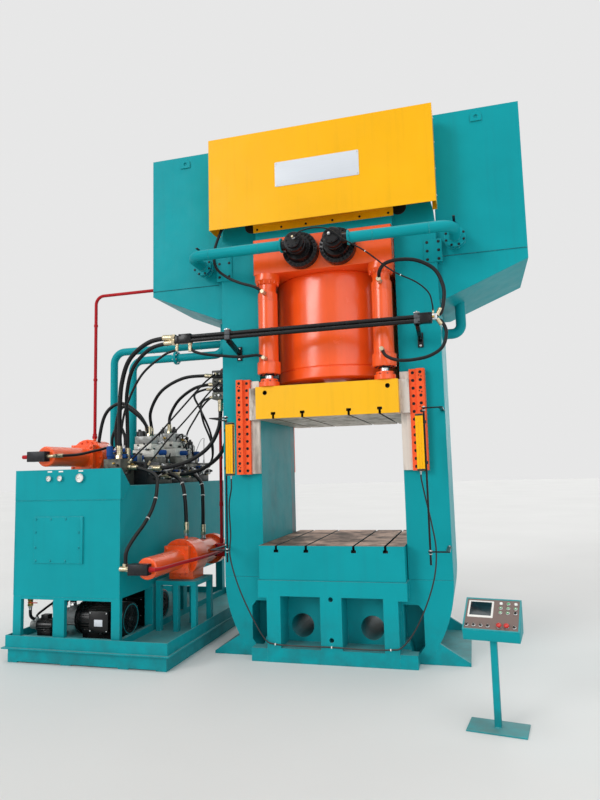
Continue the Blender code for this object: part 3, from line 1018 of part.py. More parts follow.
def console():
    pivot = Matrix.Translation((CONSOLE_X, CONSOLE_Y, 0)) @ Matrix.Rotation(math.radians(CONSOLE_TURN), 4, "Z")
    half, deep = CONSOLE_WIDE / 2, CONSOLE_DEEP / 2
    side_view = [(-deep, CONSOLE_FRONT_TOP), (-deep + 0.03, CONSOLE_LOW), (deep, CONSOLE_LOW + 0.02),
                 (deep + 0.01, CONSOLE_BACK_TOP - 0.02), (deep, CONSOLE_BACK_TOP)]
    body = prism("console", side_view, "X", -half, half)
    run = Vector((0, CONSOLE_DEEP, CONSOLE_BACK_TOP - CONSOLE_FRONT_TOP))
    tilt = math.atan2(run.z, run.y)
    face = Matrix.Translation((0, -deep, CONSOLE_FRONT_TOP)) @ Matrix.Rotation(tilt, 4, "X")
    panel_long = run.length

    def on_panel(obj):
        obj.matrix_world = pivot @ face
        return obj

    sink = on_panel(box("panel_recess", (-half + CONSOLE_RIM, half - CONSOLE_RIM), (CONSOLE_RIM, panel_long - CONSOLE_RIM),
                        (-CONSOLE_SINK, 0.03)))
    bezel = on_panel(box("screen_bezel", (-half + 0.028, -half + 0.215), (panel_long - 0.175, panel_long - 0.035),
                         (-CONSOLE_SINK - 0.01, 0.003)))
    body.matrix_world = pivot
    post = box("console_post", (-CONSOLE_POST / 2, CONSOLE_POST / 2), (-CONSOLE_POST / 2, CONSOLE_POST / 2), (0.002, CONSOLE_LOW + 0.05))
    foot = box("console_foot", (-CONSOLE_FOOT_WIDE / 2, CONSOLE_FOOT_WIDE / 2), (-CONSOLE_FOOT_DEEP / 2, CONSOLE_FOOT_DEEP / 2),
               (0, CONSOLE_FOOT))
    for obj in (post, foot):
        obj.matrix_world = pivot
    join(body, post, foot)
    cut(body, sink)
    join(body, bezel)
    columns = (half - 0.150, half - 0.095, half - 0.040)
    rows = (panel_long - 0.050, panel_long - 0.098, panel_long - 0.146, 0.045)
    collar = 0.006
    knobs = [(columns[2], rows[2]), (columns[2], rows[3])] + [(-half + 0.03 + 0.052 * i, rows[3]) for i in range(4)]
    for i, (u, v) in enumerate(knobs):
        join(body, on_panel(turned("selector_%d" % i, [
            (0, -CONSOLE_SINK - 0.005), (0.0125, -CONSOLE_SINK - 0.005), (0.0125, 0.003), (0.009, 0.003), (0.009, 0.016), (0, 0.016)],
            (u, v, 0), "Z", 8)),
            on_panel(box("selector_grip_%d" % i, (u - 0.003, u + 0.003), (v - 0.011, v + 0.011), (0.006, 0.022))))
    for i, u in enumerate(columns):
        join(body, on_panel(rod("lamp_%d" % i, (u, rows[0], 0), "Z", 0.012, -CONSOLE_SINK - 0.005, 0.008, sides=8)))
    buttons = [(columns[0], rows[1]), (columns[1], rows[1]), (columns[2], rows[1]), (columns[0], rows[2]), (columns[1], rows[2])]
    travel_seat = collar + 0.001
    for i, (u, v) in enumerate(buttons):
        join(body, on_panel(rod("button_collar_%d" % i, (u, v, 0), "Z", BUTTON_R + 0.003, -CONSOLE_SINK - 0.005, collar, sides=10)))
        cut(body, on_panel(rod("button_well_%d" % i, (u, v, 0), "Z", BUTTON_R - 0.001, collar - 0.007, collar + 0.02, sides=10)))
        cap = rod("push_button_%d" % (i + 1), (0, 0, 0), "Z", BUTTON_R - 0.0015, -0.0015, 0.005, sides=10)
        cap.matrix_world = pivot @ face @ Matrix.Translation((u, v, travel_seat - 0.001))
        paint(cap, "green" if i else "grey", 0.4)
    for i, u in enumerate(columns[:2]):
        v = rows[3]
        join(body, on_panel(rod("estop_collar_%d" % i, (u, v, 0), "Z", 0.015, -CONSOLE_SINK - 0.005, 0.008, sides=12)))
        cut(body, on_panel(rod("estop_well_%d" % i, (u, v, 0), "Z", ESTOP_STEM_R + 0.0005, -CONSOLE_SINK - 0.001, 0.02, sides=12)))
        head = turned("emergency_stop_%s" % ("left", "right")[i], [
            (0, 0), (ESTOP_STEM_R, 0), (ESTOP_STEM_R, 0.014), (ESTOP_R, 0.016), (ESTOP_R, 0.024), (ESTOP_R * 0.6, 0.029),
            (0, 0.030)], (0, 0, 0), "Z", 14)
        head.matrix_world = pivot @ face @ Matrix.Translation((u, v, 0.001))
        paint(head, "red", 0.35)
    paint(body, "teal")


lower_crosshead()
uprights()
upper_crosshead()
tables()
guides()
main_cylinder()
return_cylinders()
prefill_gear()
oil_tanks()
top_cover()
front_rails()
cylinder_hoses()
drain_and_transfer_pipes()
light_curtains()
power_unit_base()
power_unit_tank()
booster("intensifier_lower", LOW_BOOSTER_X, LOW_BOOSTER_Z, STAND_TOP, True)
booster("intensifier_upper", TOP_BOOSTER_X, TOP_BOOSTER_Z, UNIT_TANK_TOP, False)
valve_gear()
pump_motors()
console()
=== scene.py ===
import math
import random

import bmesh
import bpy
from mathutils import Matrix, Vector


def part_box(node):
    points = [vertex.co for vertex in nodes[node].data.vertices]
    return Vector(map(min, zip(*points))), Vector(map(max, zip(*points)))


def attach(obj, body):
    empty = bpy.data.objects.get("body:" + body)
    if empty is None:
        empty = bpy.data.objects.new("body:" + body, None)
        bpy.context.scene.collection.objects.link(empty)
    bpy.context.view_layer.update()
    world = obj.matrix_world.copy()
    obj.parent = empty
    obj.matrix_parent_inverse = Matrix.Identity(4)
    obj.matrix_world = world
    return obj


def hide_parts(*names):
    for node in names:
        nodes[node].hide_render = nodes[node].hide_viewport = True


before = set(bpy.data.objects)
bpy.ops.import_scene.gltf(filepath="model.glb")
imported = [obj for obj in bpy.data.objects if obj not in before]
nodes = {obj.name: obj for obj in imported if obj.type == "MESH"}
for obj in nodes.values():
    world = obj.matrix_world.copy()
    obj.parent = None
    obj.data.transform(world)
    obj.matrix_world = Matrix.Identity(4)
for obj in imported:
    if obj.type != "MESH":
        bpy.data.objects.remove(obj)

random.seed(11)
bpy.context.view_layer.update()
scene = bpy.context.scene
sides = (("left", -1), ("right", 1))
toRight, toLeft, toBack, toFront, upward, downward = (1, 0, 0), (-1, 0, 0), (0, 1, 0), (0, -1, 0), (0, 0, 1), (0, 0,
    -1)


def linear(code, strength=1.0):
    # sRGB hex to the linear colour a socket takes
    parts = [int(code[i:i + 2], 16) / 255 for i in (1, 3, 5)]
    return tuple(min(1.0,
        strength * (c / 12.92 if c <= 0.04045 else ((c + 0.055) / 1.055) ** 2.4)) for c in parts) + (1.0,)


def addNode(tree, kind, sockets=None, out=0, **settings):
    # adds a node with its settings and links, and gives back the output that is wanted
    node = tree.nodes.new("ShaderNode" + kind)
    for key, value in settings.items():
        setattr(node, key, value)
    for key, value in (sockets or {}).items():
        if isinstance(value, bpy.types.NodeSocket):
            tree.links.new(value, node.inputs[key])
        else:
            node.inputs[key].default_value = value
    return node.outputs[out]


def newMaterial(name):
    material = bpy.data.materials.new(name)
    material.use_nodes = True
    return material, material.node_tree, material.node_tree.nodes["Principled BSDF"]


def boxMask(tree, coord, low, high, soft):
    # 1 inside a box of the object's own coordinates, with a soft edge; None leaves that side open
    mask = None
    for axis in range(3):
        along = addNode(tree, "SeparateXYZ", {0: coord}, axis)
        for limit, way in ((low[axis], 1), (high[axis], -1)):
            if limit is None:
                continue
            step = addNode(tree, "MapRange", {
                "Value": along, "From Min": limit - soft * way, "From Max": limit + soft * way})
            mask = step if mask is None else addNode(tree, "Math", {0: mask, 1: step}, operation="MULTIPLY")
    return mask


def anyBox(tree, coord, boxes):
    # 1 inside any of the boxes
    mask = None
    for least, most in boxes:
        part = boxMask(tree, coord, least, most, 0.0006)
        mask = part if mask is None else addNode(tree, "Math", {0: mask, 1: part}, operation="MAXIMUM")
    return mask


openPiece = {}   # the meshes of the piece that is being made, by finish


def within(finish):
    if finish not in openPiece:
        openPiece[finish] = bmesh.new()
    return openPiece[finish]


def merge(finish, source, place=None):
    if place is not None:
        source.transform(place)
    mesh = bpy.data.meshes.new("loose")
    source.to_mesh(mesh)
    source.free()
    within(finish).from_mesh(mesh)
    bpy.data.meshes.remove(mesh)


def aim(spot, direction, wide=1.0, tall=None):
    # puts a shape's own +Z along direction at spot
    turn = Vector(direction).to_track_quat("Z", "Y").to_matrix().to_4x4()
    return Matrix.Translation(spot) @ turn @ Matrix.Diagonal((wide, wide, wide if tall is None else tall, 1))


def spinShape(profile, count=24):
    # turned shape from (radius, height) points; a third value makes that ring many-sided, such as 6 for a hexagon
    bm = bmesh.new()
    rings = []
    for point in profile:
        radius, height = point[:2]
        if radius < 1e-7:
            rings.append([bm.verts.new((0, 0, height))])
            continue
        ring = []
        for k in range(count):
            angle = 2 * math.pi * k / count
            reach = radius
            if len(point) > 2:
                wedge = 2 * math.pi / point[2]
                reach = radius * math.cos(wedge / 2) / math.cos(angle % wedge - wedge / 2)
            ring.append(bm.verts.new((reach * math.cos(angle), reach * math.sin(angle), height)))
        rings.append(ring)
    if len(rings[0]) > 1:
        rings.append(rings[0])
    for low, high in zip(rings, rings[1:]):
        for k in range(count if len(low) + len(high) > 2 else 0):
            j = (k + 1) % count
            corners = [low[k % len(low)], low[j % len(low)], high[j % len(high)], high[k % len(high)]]
            bm.faces.new(list(dict.fromkeys(corners)))
    return bm


def fitting(wide, tall, neck, step, end=None):
    # profile of a hexagon with a round neck that starts at step
    tip = [(neck, step), (0, step)] if end is None else [(neck, step), (neck, end), (0, end)]
    return [(0, 0), (wide, 0, 6), (wide, tall, 6)] + tip


def knob(wide, tall, neck, step, end=None):
    # the same with a round head
    return [point[:2] for point in fitting(wide, tall, neck, step, end)]


def band(inner, outer, low, high):
    # profile of a plain ring
    return [(inner, low), (outer, low), (outer, high), (inner, high)]


def flange(inner, outer, thick):
    # profile of a flange with its edges broken by 3 mm
    return [(inner, 0), (outer - 0.003, 0), (outer, 0.003), (outer, thick - 0.003), (outer - 0.003, thick),
        (inner, thick)]


def pin(radius, tall):
    # profile of a plain cylinder
    return band(0, radius, 0, tall)


def addSpin(finish, profile, place, count=32):
    merge(finish, spinShape(profile, count), place)


def softenEdges(bm, edge, segments=2):
    if edge > 0:
        sharp = [e for e in bm.edges if e.calc_face_angle(0) > 0.6]
        bmesh.ops.bevel(bm, geom=sharp, offset=edge, segments=segments, profile=0.5, affect="EDGES",
            clamp_overlap=True)


def addBlock(finish, low, high, edge=0.003, place=None):
    bm = bmesh.new()
    bmesh.ops.create_cube(bm, size=1.0)
    for vert in bm.verts:
        vert.co = Vector([min(low[i], high[i]) if vert.co[i] < 0 else max(low[i], high[i]) for i in range(3)])
    softenEdges(bm, edge)
    merge(finish, bm, place)


def addPrism(finish, outline, axis, start, end, edge=0.002, place=None):
    spread = {"X": lambda a, b, c: (c, a, b), "Y": lambda a, b, c: (a, c, b), "Z": lambda a, b, c: (a, b, c)}[axis]
    bm = bmesh.new()
    face = bm.faces.new([bm.verts.new(spread(a, b, start)) for a, b in outline])
    grown = bmesh.ops.extrude_face_region(bm, geom=[face])
    step = Vector(spread(0, 0, end)) - Vector(spread(0, 0, start))
    bmesh.ops.translate(bm, vec=step, verts=[v for v in grown["geom"] if isinstance(v, bmesh.types.BMVert)])
    bmesh.ops.recalc_face_normals(bm, faces=bm.faces)
    softenEdges(bm, edge)
    merge(finish, bm, place)


def roundedRect(cx, cy, wide, high, radius, steps=5):
    points = []
    for sx, sy, start in ((1, 1, 0), (-1, 1, 90), (-1, -1, 180), (1, -1, 270)):
        for k in range(steps + 1):
            angle = math.radians(start + 90 * k / steps)
            points.append((cx + sx * (wide / 2 - radius) + radius * math.cos(angle),
                cy + sy * (high / 2 - radius) + radius * math.sin(angle)))
    return points


def addTube(finish, route, radius, count=16):
    bm = within(finish)
    points = [Vector(p) for p in route]
    side = (points[1] - points[0]).orthogonal().normalized()
    rings = []
    for i, spot in enumerate(points):
        ahead = (points[min(i + 1, len(points) - 1)] - points[max(i - 1, 0)]).normalized()
        side = (side - ahead * side.dot(ahead)).normalized()
        up = ahead.cross(side)
        rings.append([bm.verts.new(spot + (side * math.cos(a) + up * math.sin(a)) * radius)
            for a in (2 * math.pi * k / count for k in range(count))])
    for low, high in zip(rings, rings[1:]):
        for k in range(count):
            j = (k + 1) % count
            bm.faces.new((low[k], low[j], high[j], high[k]))
    bm.faces.new(list(reversed(rings[0])))
    bm.faces.new(rings[-1])


def smoothRoute(points, step):
    # a straight piece at each end and an even run along a Catmull-Rom curve between them
    pts = [Vector(p) for p in points]
    fine = []
    for p0, p1, p2, p3 in zip(pts, pts[1:], pts[2:], pts[3:]):
        for k in range(24):
            t = k / 24
            fine.append(0.5 * (2 * p1 + (p2 - p0) * t + (2 * p0 - 5 * p1 + 4 * p2 - p3) * t * t
                + (3 * p1 - 3 * p2 + p3 - p0) * t ** 3))
    fine.append(pts[-2])
    lengths = [0.0]
    for a, b in zip(fine, fine[1:]):
        lengths.append(lengths[-1] + (b - a).length)
    count = max(4, round(lengths[-1] / step))
    route, k = [], 0
    for i in range(count + 1):
        want = lengths[-1] * i / count
        while k < len(fine) - 2 and lengths[k + 1] < want:
            k += 1
        route.append(fine[k].lerp(fine[k + 1], (want - lengths[k]) / max(lengths[k + 1] - lengths[k], 1e-9)))
    return [pts[0]] + route + [pts[-1]]


def bentRoute(points, radius, steps=12):
    # a pipe run through corner points with a true arc at each corner
    pts = [Vector(p) for p in points]
    route = [pts[0]]
    for before, corner, after in zip(pts, pts[1:], pts[2:]):
        a, b = (before - corner).normalized(), (after - corner).normalized()
        half = a.angle(b) / 2
        centre = corner + (a + b).normalized() * radius / math.sin(half)
        first = corner + a * radius / math.tan(half) - centre
        last = corner + b * radius / math.tan(half) - centre
        turn = first.rotation_difference(last)
        for i in range(steps + 1):
            route.append(centre + Matrix.Rotation(turn.angle * i / steps, 3, turn.axis) @ first)
    return route + [pts[-1]]


def template(bm):
    mesh = bpy.data.meshes.new("template")
    bm.to_mesh(mesh)
    bm.free()
    return mesh


def stamp(finish, shape, places):
    bm = within(finish)
    for place in places:
        before = len(bm.verts)
        bm.from_mesh(shape)
        bm.verts.ensure_lookup_table()
        for vert in bm.verts[before:]:
            vert.co = place @ vert.co


def finishPiece(name, replaced=(), body="press"):
    for finish, bm in openPiece.items():
        bmesh.ops.recalc_face_normals(bm, faces=bm.faces)
        for face in bm.faces:
            face.smooth = True
        mesh = bpy.data.meshes.new(name + "_" + finish)
        bm.to_mesh(mesh)
        bm.free()
        mesh.set_sharp_from_angle(angle=math.radians(35))
        mesh.materials.append(finishes[finish])
        obj = bpy.data.objects.new(name + "_" + finish, mesh)
        scene.collection.objects.link(obj)
        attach(obj, body)
    if replaced:
        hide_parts(*replaced)
    openPiece.clear()


cameraLook = {"place": (1.481, -7.327, 1.98), "yaw": 15.159, "pitch": 6.363, "roll": -1.485, "lens": 28.21}


def addCamera(look):
    yaw, pitch, roll = (math.radians(look[k]) for k in ("yaw", "pitch", "roll"))
    forward = Vector((-math.sin(yaw) * math.cos(pitch), math.cos(yaw) * math.cos(pitch), math.sin(pitch)))
    level = Vector((math.cos(yaw), math.sin(yaw), 0))
    above = level.cross(forward)
    right = level * math.cos(roll) + above * math.sin(roll)
    up = above * math.cos(roll) - level * math.sin(roll)
    data = bpy.data.cameras.new("photoView")
    data.lens = look["lens"]
    data.sensor_width = data.sensor_height = 36
    data.sensor_fit = "VERTICAL"
    data.clip_end = 200
    camera = bpy.data.objects.new("photoView", data)
    camera.matrix_world = Matrix.Translation(look["place"]) @ Matrix((right, up, -forward)).transposed().to_4x4()
    scene.collection.objects.link(camera)
    scene.camera = camera


addCamera(cameraLook)

lampLook = {
    "window": {"from": (-0.55, -0.75, 0.36), "strength": 1.15, "spread": 24, "colour": "#FFFFFF"},
    "fill": {"from": (0.68, -0.8, 0.3), "strength": 0.9, "spread": 60, "colour": "#F4F8FF"},
    "roof": {"from": (0.05, -0.2, 1.0), "strength": 1.05, "spread": 50, "colour": "#FFFFFF"},
    "back": {"from": (0.25, 0.85, 0.5), "strength": 0.6, "spread": 60, "colour": "#FFFFFF"},
}


def addLamps(look):
    for name, lamp in look.items():
        data = bpy.data.lights.new(name, "SUN")
        data.energy = lamp["strength"]
        data.angle = math.radians(lamp["spread"])
        data.color = linear(lamp["colour"])[:3]
        obj = bpy.data.objects.new(name, data)
        obj.matrix_world = Vector(lamp["from"]).to_track_quat("Z", "Y").to_matrix().to_4x4()
        scene.collection.objects.link(obj)


addLamps(lampLook)

studioLook = {"lit": 0.42, "seen": 0.8, "floor": "#DEDEDC"}


def addStudio(look):
    world = bpy.data.worlds.new("studio")
    scene.world = world
    world.use_nodes = True
    tree = world.node_tree
    seen = addNode(tree, "LightPath", out="Is Camera Ray")
    for ray in ("Is Glossy Ray", "Is Transmission Ray"):
        seen = addNode(tree, "Math", {0: seen, 1: addNode(tree, "LightPath", out=ray)}, operation="MAXIMUM")
    strength = addNode(tree, "MapRange", {"Value": seen, "To Min": look["lit"], "To Max": look["seen"]})
    background = tree.nodes["Background"]
    background.inputs["Color"].default_value = (1, 1, 1, 1)
    tree.links.new(strength, background.inputs["Strength"])

    # power-floated concrete, sealed: pale, matt, with a faint cloud in its tone
    material, tree, shader = newMaterial("sealedConcrete")
    coord = addNode(tree, "TexCoord", out="Object")
    cloud = addNode(tree, "TexNoise", {"Vector": coord, "Scale": 0.35, "Detail": 5.0})
    tone = addNode(tree, "Mix", {0: cloud, 6: linear(look["floor"], 0.93), 7: linear(look["floor"], 1.05)}, out=2,
        data_type="RGBA")
    tree.links.new(tone, shader.inputs["Base Color"])
    shader.inputs["Roughness"].default_value = 0.75
    bm = bmesh.new()
    bmesh.ops.create_grid(bm, x_segments=1, y_segments=1, size=60)
    mesh = bpy.data.meshes.new("floor")
    bm.to_mesh(mesh)
    bm.free()
    mesh.materials.append(material)
    floor = bpy.data.objects.new("floor", mesh)
    floor.location = (0, 20, -0.0005)
    scene.collection.objects.link(floor)


addStudio(studioLook)
scene.view_settings.view_transform = "Standard"
print("camera, lamps and floor are in")


finishes = {}


def sprayedEnamel(name, code, look):
    # two-pack enamel sprayed over filled plate: satin, with broad tone clouds, a faint wave and orange peel,
    # dust on what faces up, dirt low down and paint rubbed thin along the edges
    material, tree, shader = newMaterial(name)
    coord = addNode(tree, "TexCoord", out="Object")
    normal = addNode(tree, "NewGeometry", out="Normal")
    clouds = addNode(tree, "TexNoise", {"Vector": coord, "Scale": 1 / look["cloud"], "Detail": 4.0,
        "Roughness": 0.55})
    spread = addNode(tree, "MapRange", {"Value": clouds, "From Min": 0.32, "From Max": 0.68})
    tone = addNode(tree, "Mix", {0: spread, 6: linear(code, 1 - look["tone"]), 7: linear(code, 1 + look["tone"])},
        out=2, data_type="RGBA")

    stretched = addNode(tree, "Mapping", {"Vector": coord, "Scale": (16, 16, 0.8)})
    runs = addNode(tree, "TexNoise", {"Vector": stretched, "Scale": 1.0, "Detail": 3.0})
    streak = addNode(tree, "MapRange", {"Value": runs, "From Min": 0.52, "From Max": 0.8, "To Max": look["streak"]})
    tone = addNode(tree, "Mix", {0: streak, 6: tone, 7: linear(look["dirt"])}, out=2, data_type="RGBA")

    smudge = addNode(tree, "TexNoise", {"Vector": coord, "Scale": 5.0, "Detail": 6.0, "Roughness": 0.65})
    low = addNode(tree, "MapRange", {"Value": addNode(tree, "SeparateXYZ", {0: coord}, 2),
        "From Min": 0.0, "From Max": 0.55, "To Min": look["grime"], "To Max": 0.0})
    patch = addNode(tree, "MapRange", {"Value": smudge, "From Min": 0.35, "From Max": 0.65})
    grime = addNode(tree, "Math", {0: low, 1: patch}, operation="MULTIPLY")
    tone = addNode(tree, "Mix", {0: grime, 6: tone, 7: linear(look["dirt"])}, out=2, data_type="RGBA")

    facing = addNode(tree, "SeparateXYZ", {0: normal}, 2)
    settled = addNode(tree, "MapRange", {"Value": facing, "From Min": 0.6, "From Max": 0.95, "To Max": look["dust"]})
    dust = addNode(tree, "Math", {0: settled, 1: addNode(tree, "MapRange", {
        "Value": smudge, "From Min": 0.2, "From Max": 0.7, "To Min": 0.35})}, operation="MULTIPLY")
    tone = addNode(tree, "Mix", {0: dust, 6: tone, 7: linear("#A7A598")}, out=2, data_type="RGBA")

    for stain in look.get("stains", ()):
        mask = boxMask(tree, coord, stain["low"], stain["high"], stain["soft"])
        blotch = addNode(tree, "TexNoise", {"Vector": coord, "Scale": stain["blotch"], "Detail": 5.0,
            "Roughness": 0.6})
        blotch = addNode(tree, "MapRange", {"Value": blotch, "From Min": 0.3, "From Max": 0.62,
            "To Max": stain["amount"]})
        mask = addNode(tree, "Math", {0: mask, 1: blotch}, operation="MULTIPLY")
        tone = addNode(tree, "Mix", {0: mask, 6: tone, 7: linear(stain["code"])}, out=2, data_type="RGBA")

    rounded = addNode(tree, "Bevel", {"Radius": 0.005}, samples=4)
    flat = addNode(tree, "VectorMath", {0: rounded, 1: normal}, out="Value", operation="DOT_PRODUCT")
    edge = addNode(tree, "MapRange", {"Value": flat, "From Min": 0.8, "From Max": 0.97, "To Min": look["wear"],
        "To Max": 0.0})
    chips = addNode(tree, "TexNoise", {"Vector": coord, "Scale": 45.0, "Detail": 4.0})
    rub = addNode(tree, "Math", {0: edge, 1: addNode(tree, "MapRange", {
        "Value": chips, "From Min": 0.42, "From Max": 0.62})}, operation="MULTIPLY")
    tone = addNode(tree, "Mix", {0: rub, 6: tone, 7: linear(look["under"])}, out=2, data_type="RGBA")

    gloss = addNode(tree, "MapRange", {"Value": smudge, "From Min": 0.3, "From Max": 0.7,
        "To Min": look["rough"] - 0.06, "To Max": look["rough"] + 0.08})
    gloss = addNode(tree, "Math", {0: dust, 1: 0.5, 2: gloss}, operation="MULTIPLY_ADD")
    if "bare" in look:
        # the part's machined faces carry no paint: the tone and gloss of oiled steel inside these boxes
        bare = look["bare"]
        mask = anyBox(tree, coord, bare["boxes"])
        along = addNode(tree, "Mapping", {"Vector": coord, "Scale": bare["grain"]})
        oily = addNode(tree, "TexNoise", {"Vector": along, "Scale": 1.0, "Detail": 6.0, "Roughness": 0.65})
        oily = addNode(tree, "MapRange", {"Value": oily, "From Min": bare["stainFrom"],
            "From Max": bare["stainFrom"] + 0.22})
        steel = addNode(tree, "Mix", {0: oily, 6: linear(bare["code"]), 7: linear(bare["stainCode"])}, out=2,
            data_type="RGBA")
        tone = addNode(tree, "Mix", {0: mask, 6: tone, 7: steel}, out=2, data_type="RGBA")
        metal = addNode(tree, "Math", {0: mask, 1: bare["metal"]}, operation="MULTIPLY")
        tree.links.new(metal, shader.inputs["Metallic"])
        dull = addNode(tree, "MapRange", {"Value": oily, "To Min": bare["rough"], "To Max": bare["rough"] + 0.2})
        gloss = addNode(tree, "Mix", {0: mask, 2: gloss, 3: dull})
    if "hollowShade" in look:   # slots and lifting holes get painted shade: a near-black tone inside them
        tone = addNode(tree, "Mix", {0: anyBox(tree, coord, look["hollowShade"]), 6: tone, 7: linear("#17120E")}, out=2,
            data_type="RGBA")
    wave = addNode(tree, "TexNoise", {"Vector": coord, "Scale": 3.2, "Detail": 2.0})
    wave = addNode(tree, "Bump", {"Height": wave, "Strength": 0.35, "Distance": look["wave"], "Normal": rounded})
    peel = addNode(tree, "TexNoise", {"Vector": coord, "Scale": 240.0, "Detail": 1.0})   # 4 mm cells
    peel = addNode(tree, "Bump", {"Height": peel, "Strength": 0.25, "Distance": 0.0005, "Normal": wave})
    tree.links.new(tone, shader.inputs["Base Color"])
    tree.links.new(gloss, shader.inputs["Roughness"])
    tree.links.new(peel, shader.inputs["Normal"])
    shader.inputs["Specular IOR Level"].default_value = look["shine"]
    finishes[name] = material


plainEnamel = {"cloud": 0.9, "tone": 0.07, "streak": 0.08, "dirt": "#2F4A4A", "grime": 0.45, "dust": 0.3,
    "wear": 0.5, "under": "#8FBFC0", "rough": 0.4, "wave": 0.012, "shine": 0.09}
sprayedEnamel("tealEnamel", "#0C979F", plainEnamel)
greasyLeft = [
    {"low": (None, -0.42, 1.25), "high": (-0.778, -0.1, 2.05),
        "soft": 0.09, "blotch": 4.0, "amount": 0.6, "code": "#3F5354"},
    {"low": (None, -0.66, 1.5), "high": (-0.778, 0.6, 4.5), "soft": 0.05, "blotch": 2.2, "amount": 0.2,
        "code": "#3FA9AF"},
    {"low": (None, 0.5, 0.9), "high": (-0.778, 0.66, 3.2), "soft": 0.006, "blotch": 3.0, "amount": 0.85,
        "code": "#77757A"},
]
# enamel on welds, darker: painted shade along the seam, and dirt in the ripples
sprayedEnamel("weldShadeAndDirt", "#0A6C74", dict(plainEnamel, tone=0.3))
sprayedEnamel("tealEnamelGreasy", "#0C979F", dict(plainEnamel, stains=greasyLeft))
orangeLook = dict(plainEnamel, tone=0.05, dirt="#7A2E12", under="#FFB58A", grime=0.0, dust=0.12, wave=0.006)
yellowLook = dict(plainEnamel, tone=0.04, dirt="#6E5A18", under="#FFE08A", grime=0.0, dust=0.25)
sprayedEnamel("orangeEnamel", "#FB5D1F", dict(orangeLook, rough=0.2, shine=0.55))
sprayedEnamel("bracketEnamel", "#FC6234", dict(orangeLook, rough=0.42, dust=0.15, wave=0.012))
sprayedEnamel("yellowEnamel", "#F6B404", dict(yellowLook, rough=0.36, shine=0.2))

# the machined faces of a painted part: gibs, table top and rods
gibSteel = {"code": "#CDC6BE", "stainCode": "#7C7268", "grain": (9, 9, 2.2), "stainFrom": 0.45, "metal": 0.35,
    "rough": 0.48}


tableFront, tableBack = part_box("bolster")[0][1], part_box("bolster")[1][1]


def slotShade(mouth, way, extra=()):
    # the tee slots' cross-sections, all along the table, where the enamel gets painted shade
    boxes = list(extra)
    for x in (-0.581, -0.253, 0.253, 0.581):
        for half, a, b in ((0.0125, -0.01, 0.0425), (0.0255, 0.0415, 0.0706)):
            low, high = sorted((mouth + way * a, mouth + way * b))
            boxes.append(((x - half, None, low), (x + half, None, high)))
    return boxes


openSide = (None, None, None)
# the slide's two lifting holes, also given painted shade
liftingHoles = [((x - 0.03, tableFront + 0.002, 2.8), (x + 0.03, tableBack - 0.002, 2.86)) for x in (-0.672, 0.672)]
slideFaces = [(openSide, (-0.7825, None, None)), ((0.7825, None, None), openSide), (openSide, (None, None, 2.5425))]
tableSteel = dict(gibSteel, code="#B68C72", stainCode="#5A3C2C", grain=(3, 3, 3), stainFrom=0.38, metal=0.7,
    boxes=[((None, None, 1.1868), openSide)])
rodChrome = dict(gibSteel, code="#E2E3E4", stainCode="#C9C7C0", metal=1.0, rough=0.12,
    boxes=[((None, None, 2.984), openSide)])
sprayedEnamel("slideEnamel", "#F8B804", dict(yellowLook, rough=0.34, shine=0.35,
    hollowShade=slotShade(2.542, 1, liftingHoles), bare=dict(gibSteel, boxes=slideFaces)))
sprayedEnamel("tableEnamel", "#0C979F", dict(plainEnamel, hollowShade=slotShade(1.187, -1), bare=tableSteel))
sprayedEnamel("rodFootEnamel", "#FB5D1F", dict(orangeLook, tone=0.06, rough=0.22, shine=0.5, bare=rodChrome))
sprayedEnamel("blackEnamel", "#0C0C0E", dict(plainEnamel, tone=0.2, dirt="#2A2926", under="#4A4B4F", rough=0.27,
    grime=0.3, dust=0.08, wave=0.003, shine=0.3))
sprayedEnamel("blueEnamel", "#1D4A8C", dict(plainEnamel, tone=0.1, dirt="#1B2433", under="#6D86AC", rough=0.4,
    grime=0.0, wave=0.004))
sprayedEnamel("redEnamel", "#B01F26", dict(plainEnamel, tone=0.1, dirt="#3A1512", under="#C98078", rough=0.4,
    grime=0.1, wave=0.004))
sprayedEnamel("greyEnamel", "#7C7F80", dict(plainEnamel, tone=0.1, dirt="#3A3A38", under="#B5B5B0", rough=0.5,
    grime=0.2, wave=0.004))


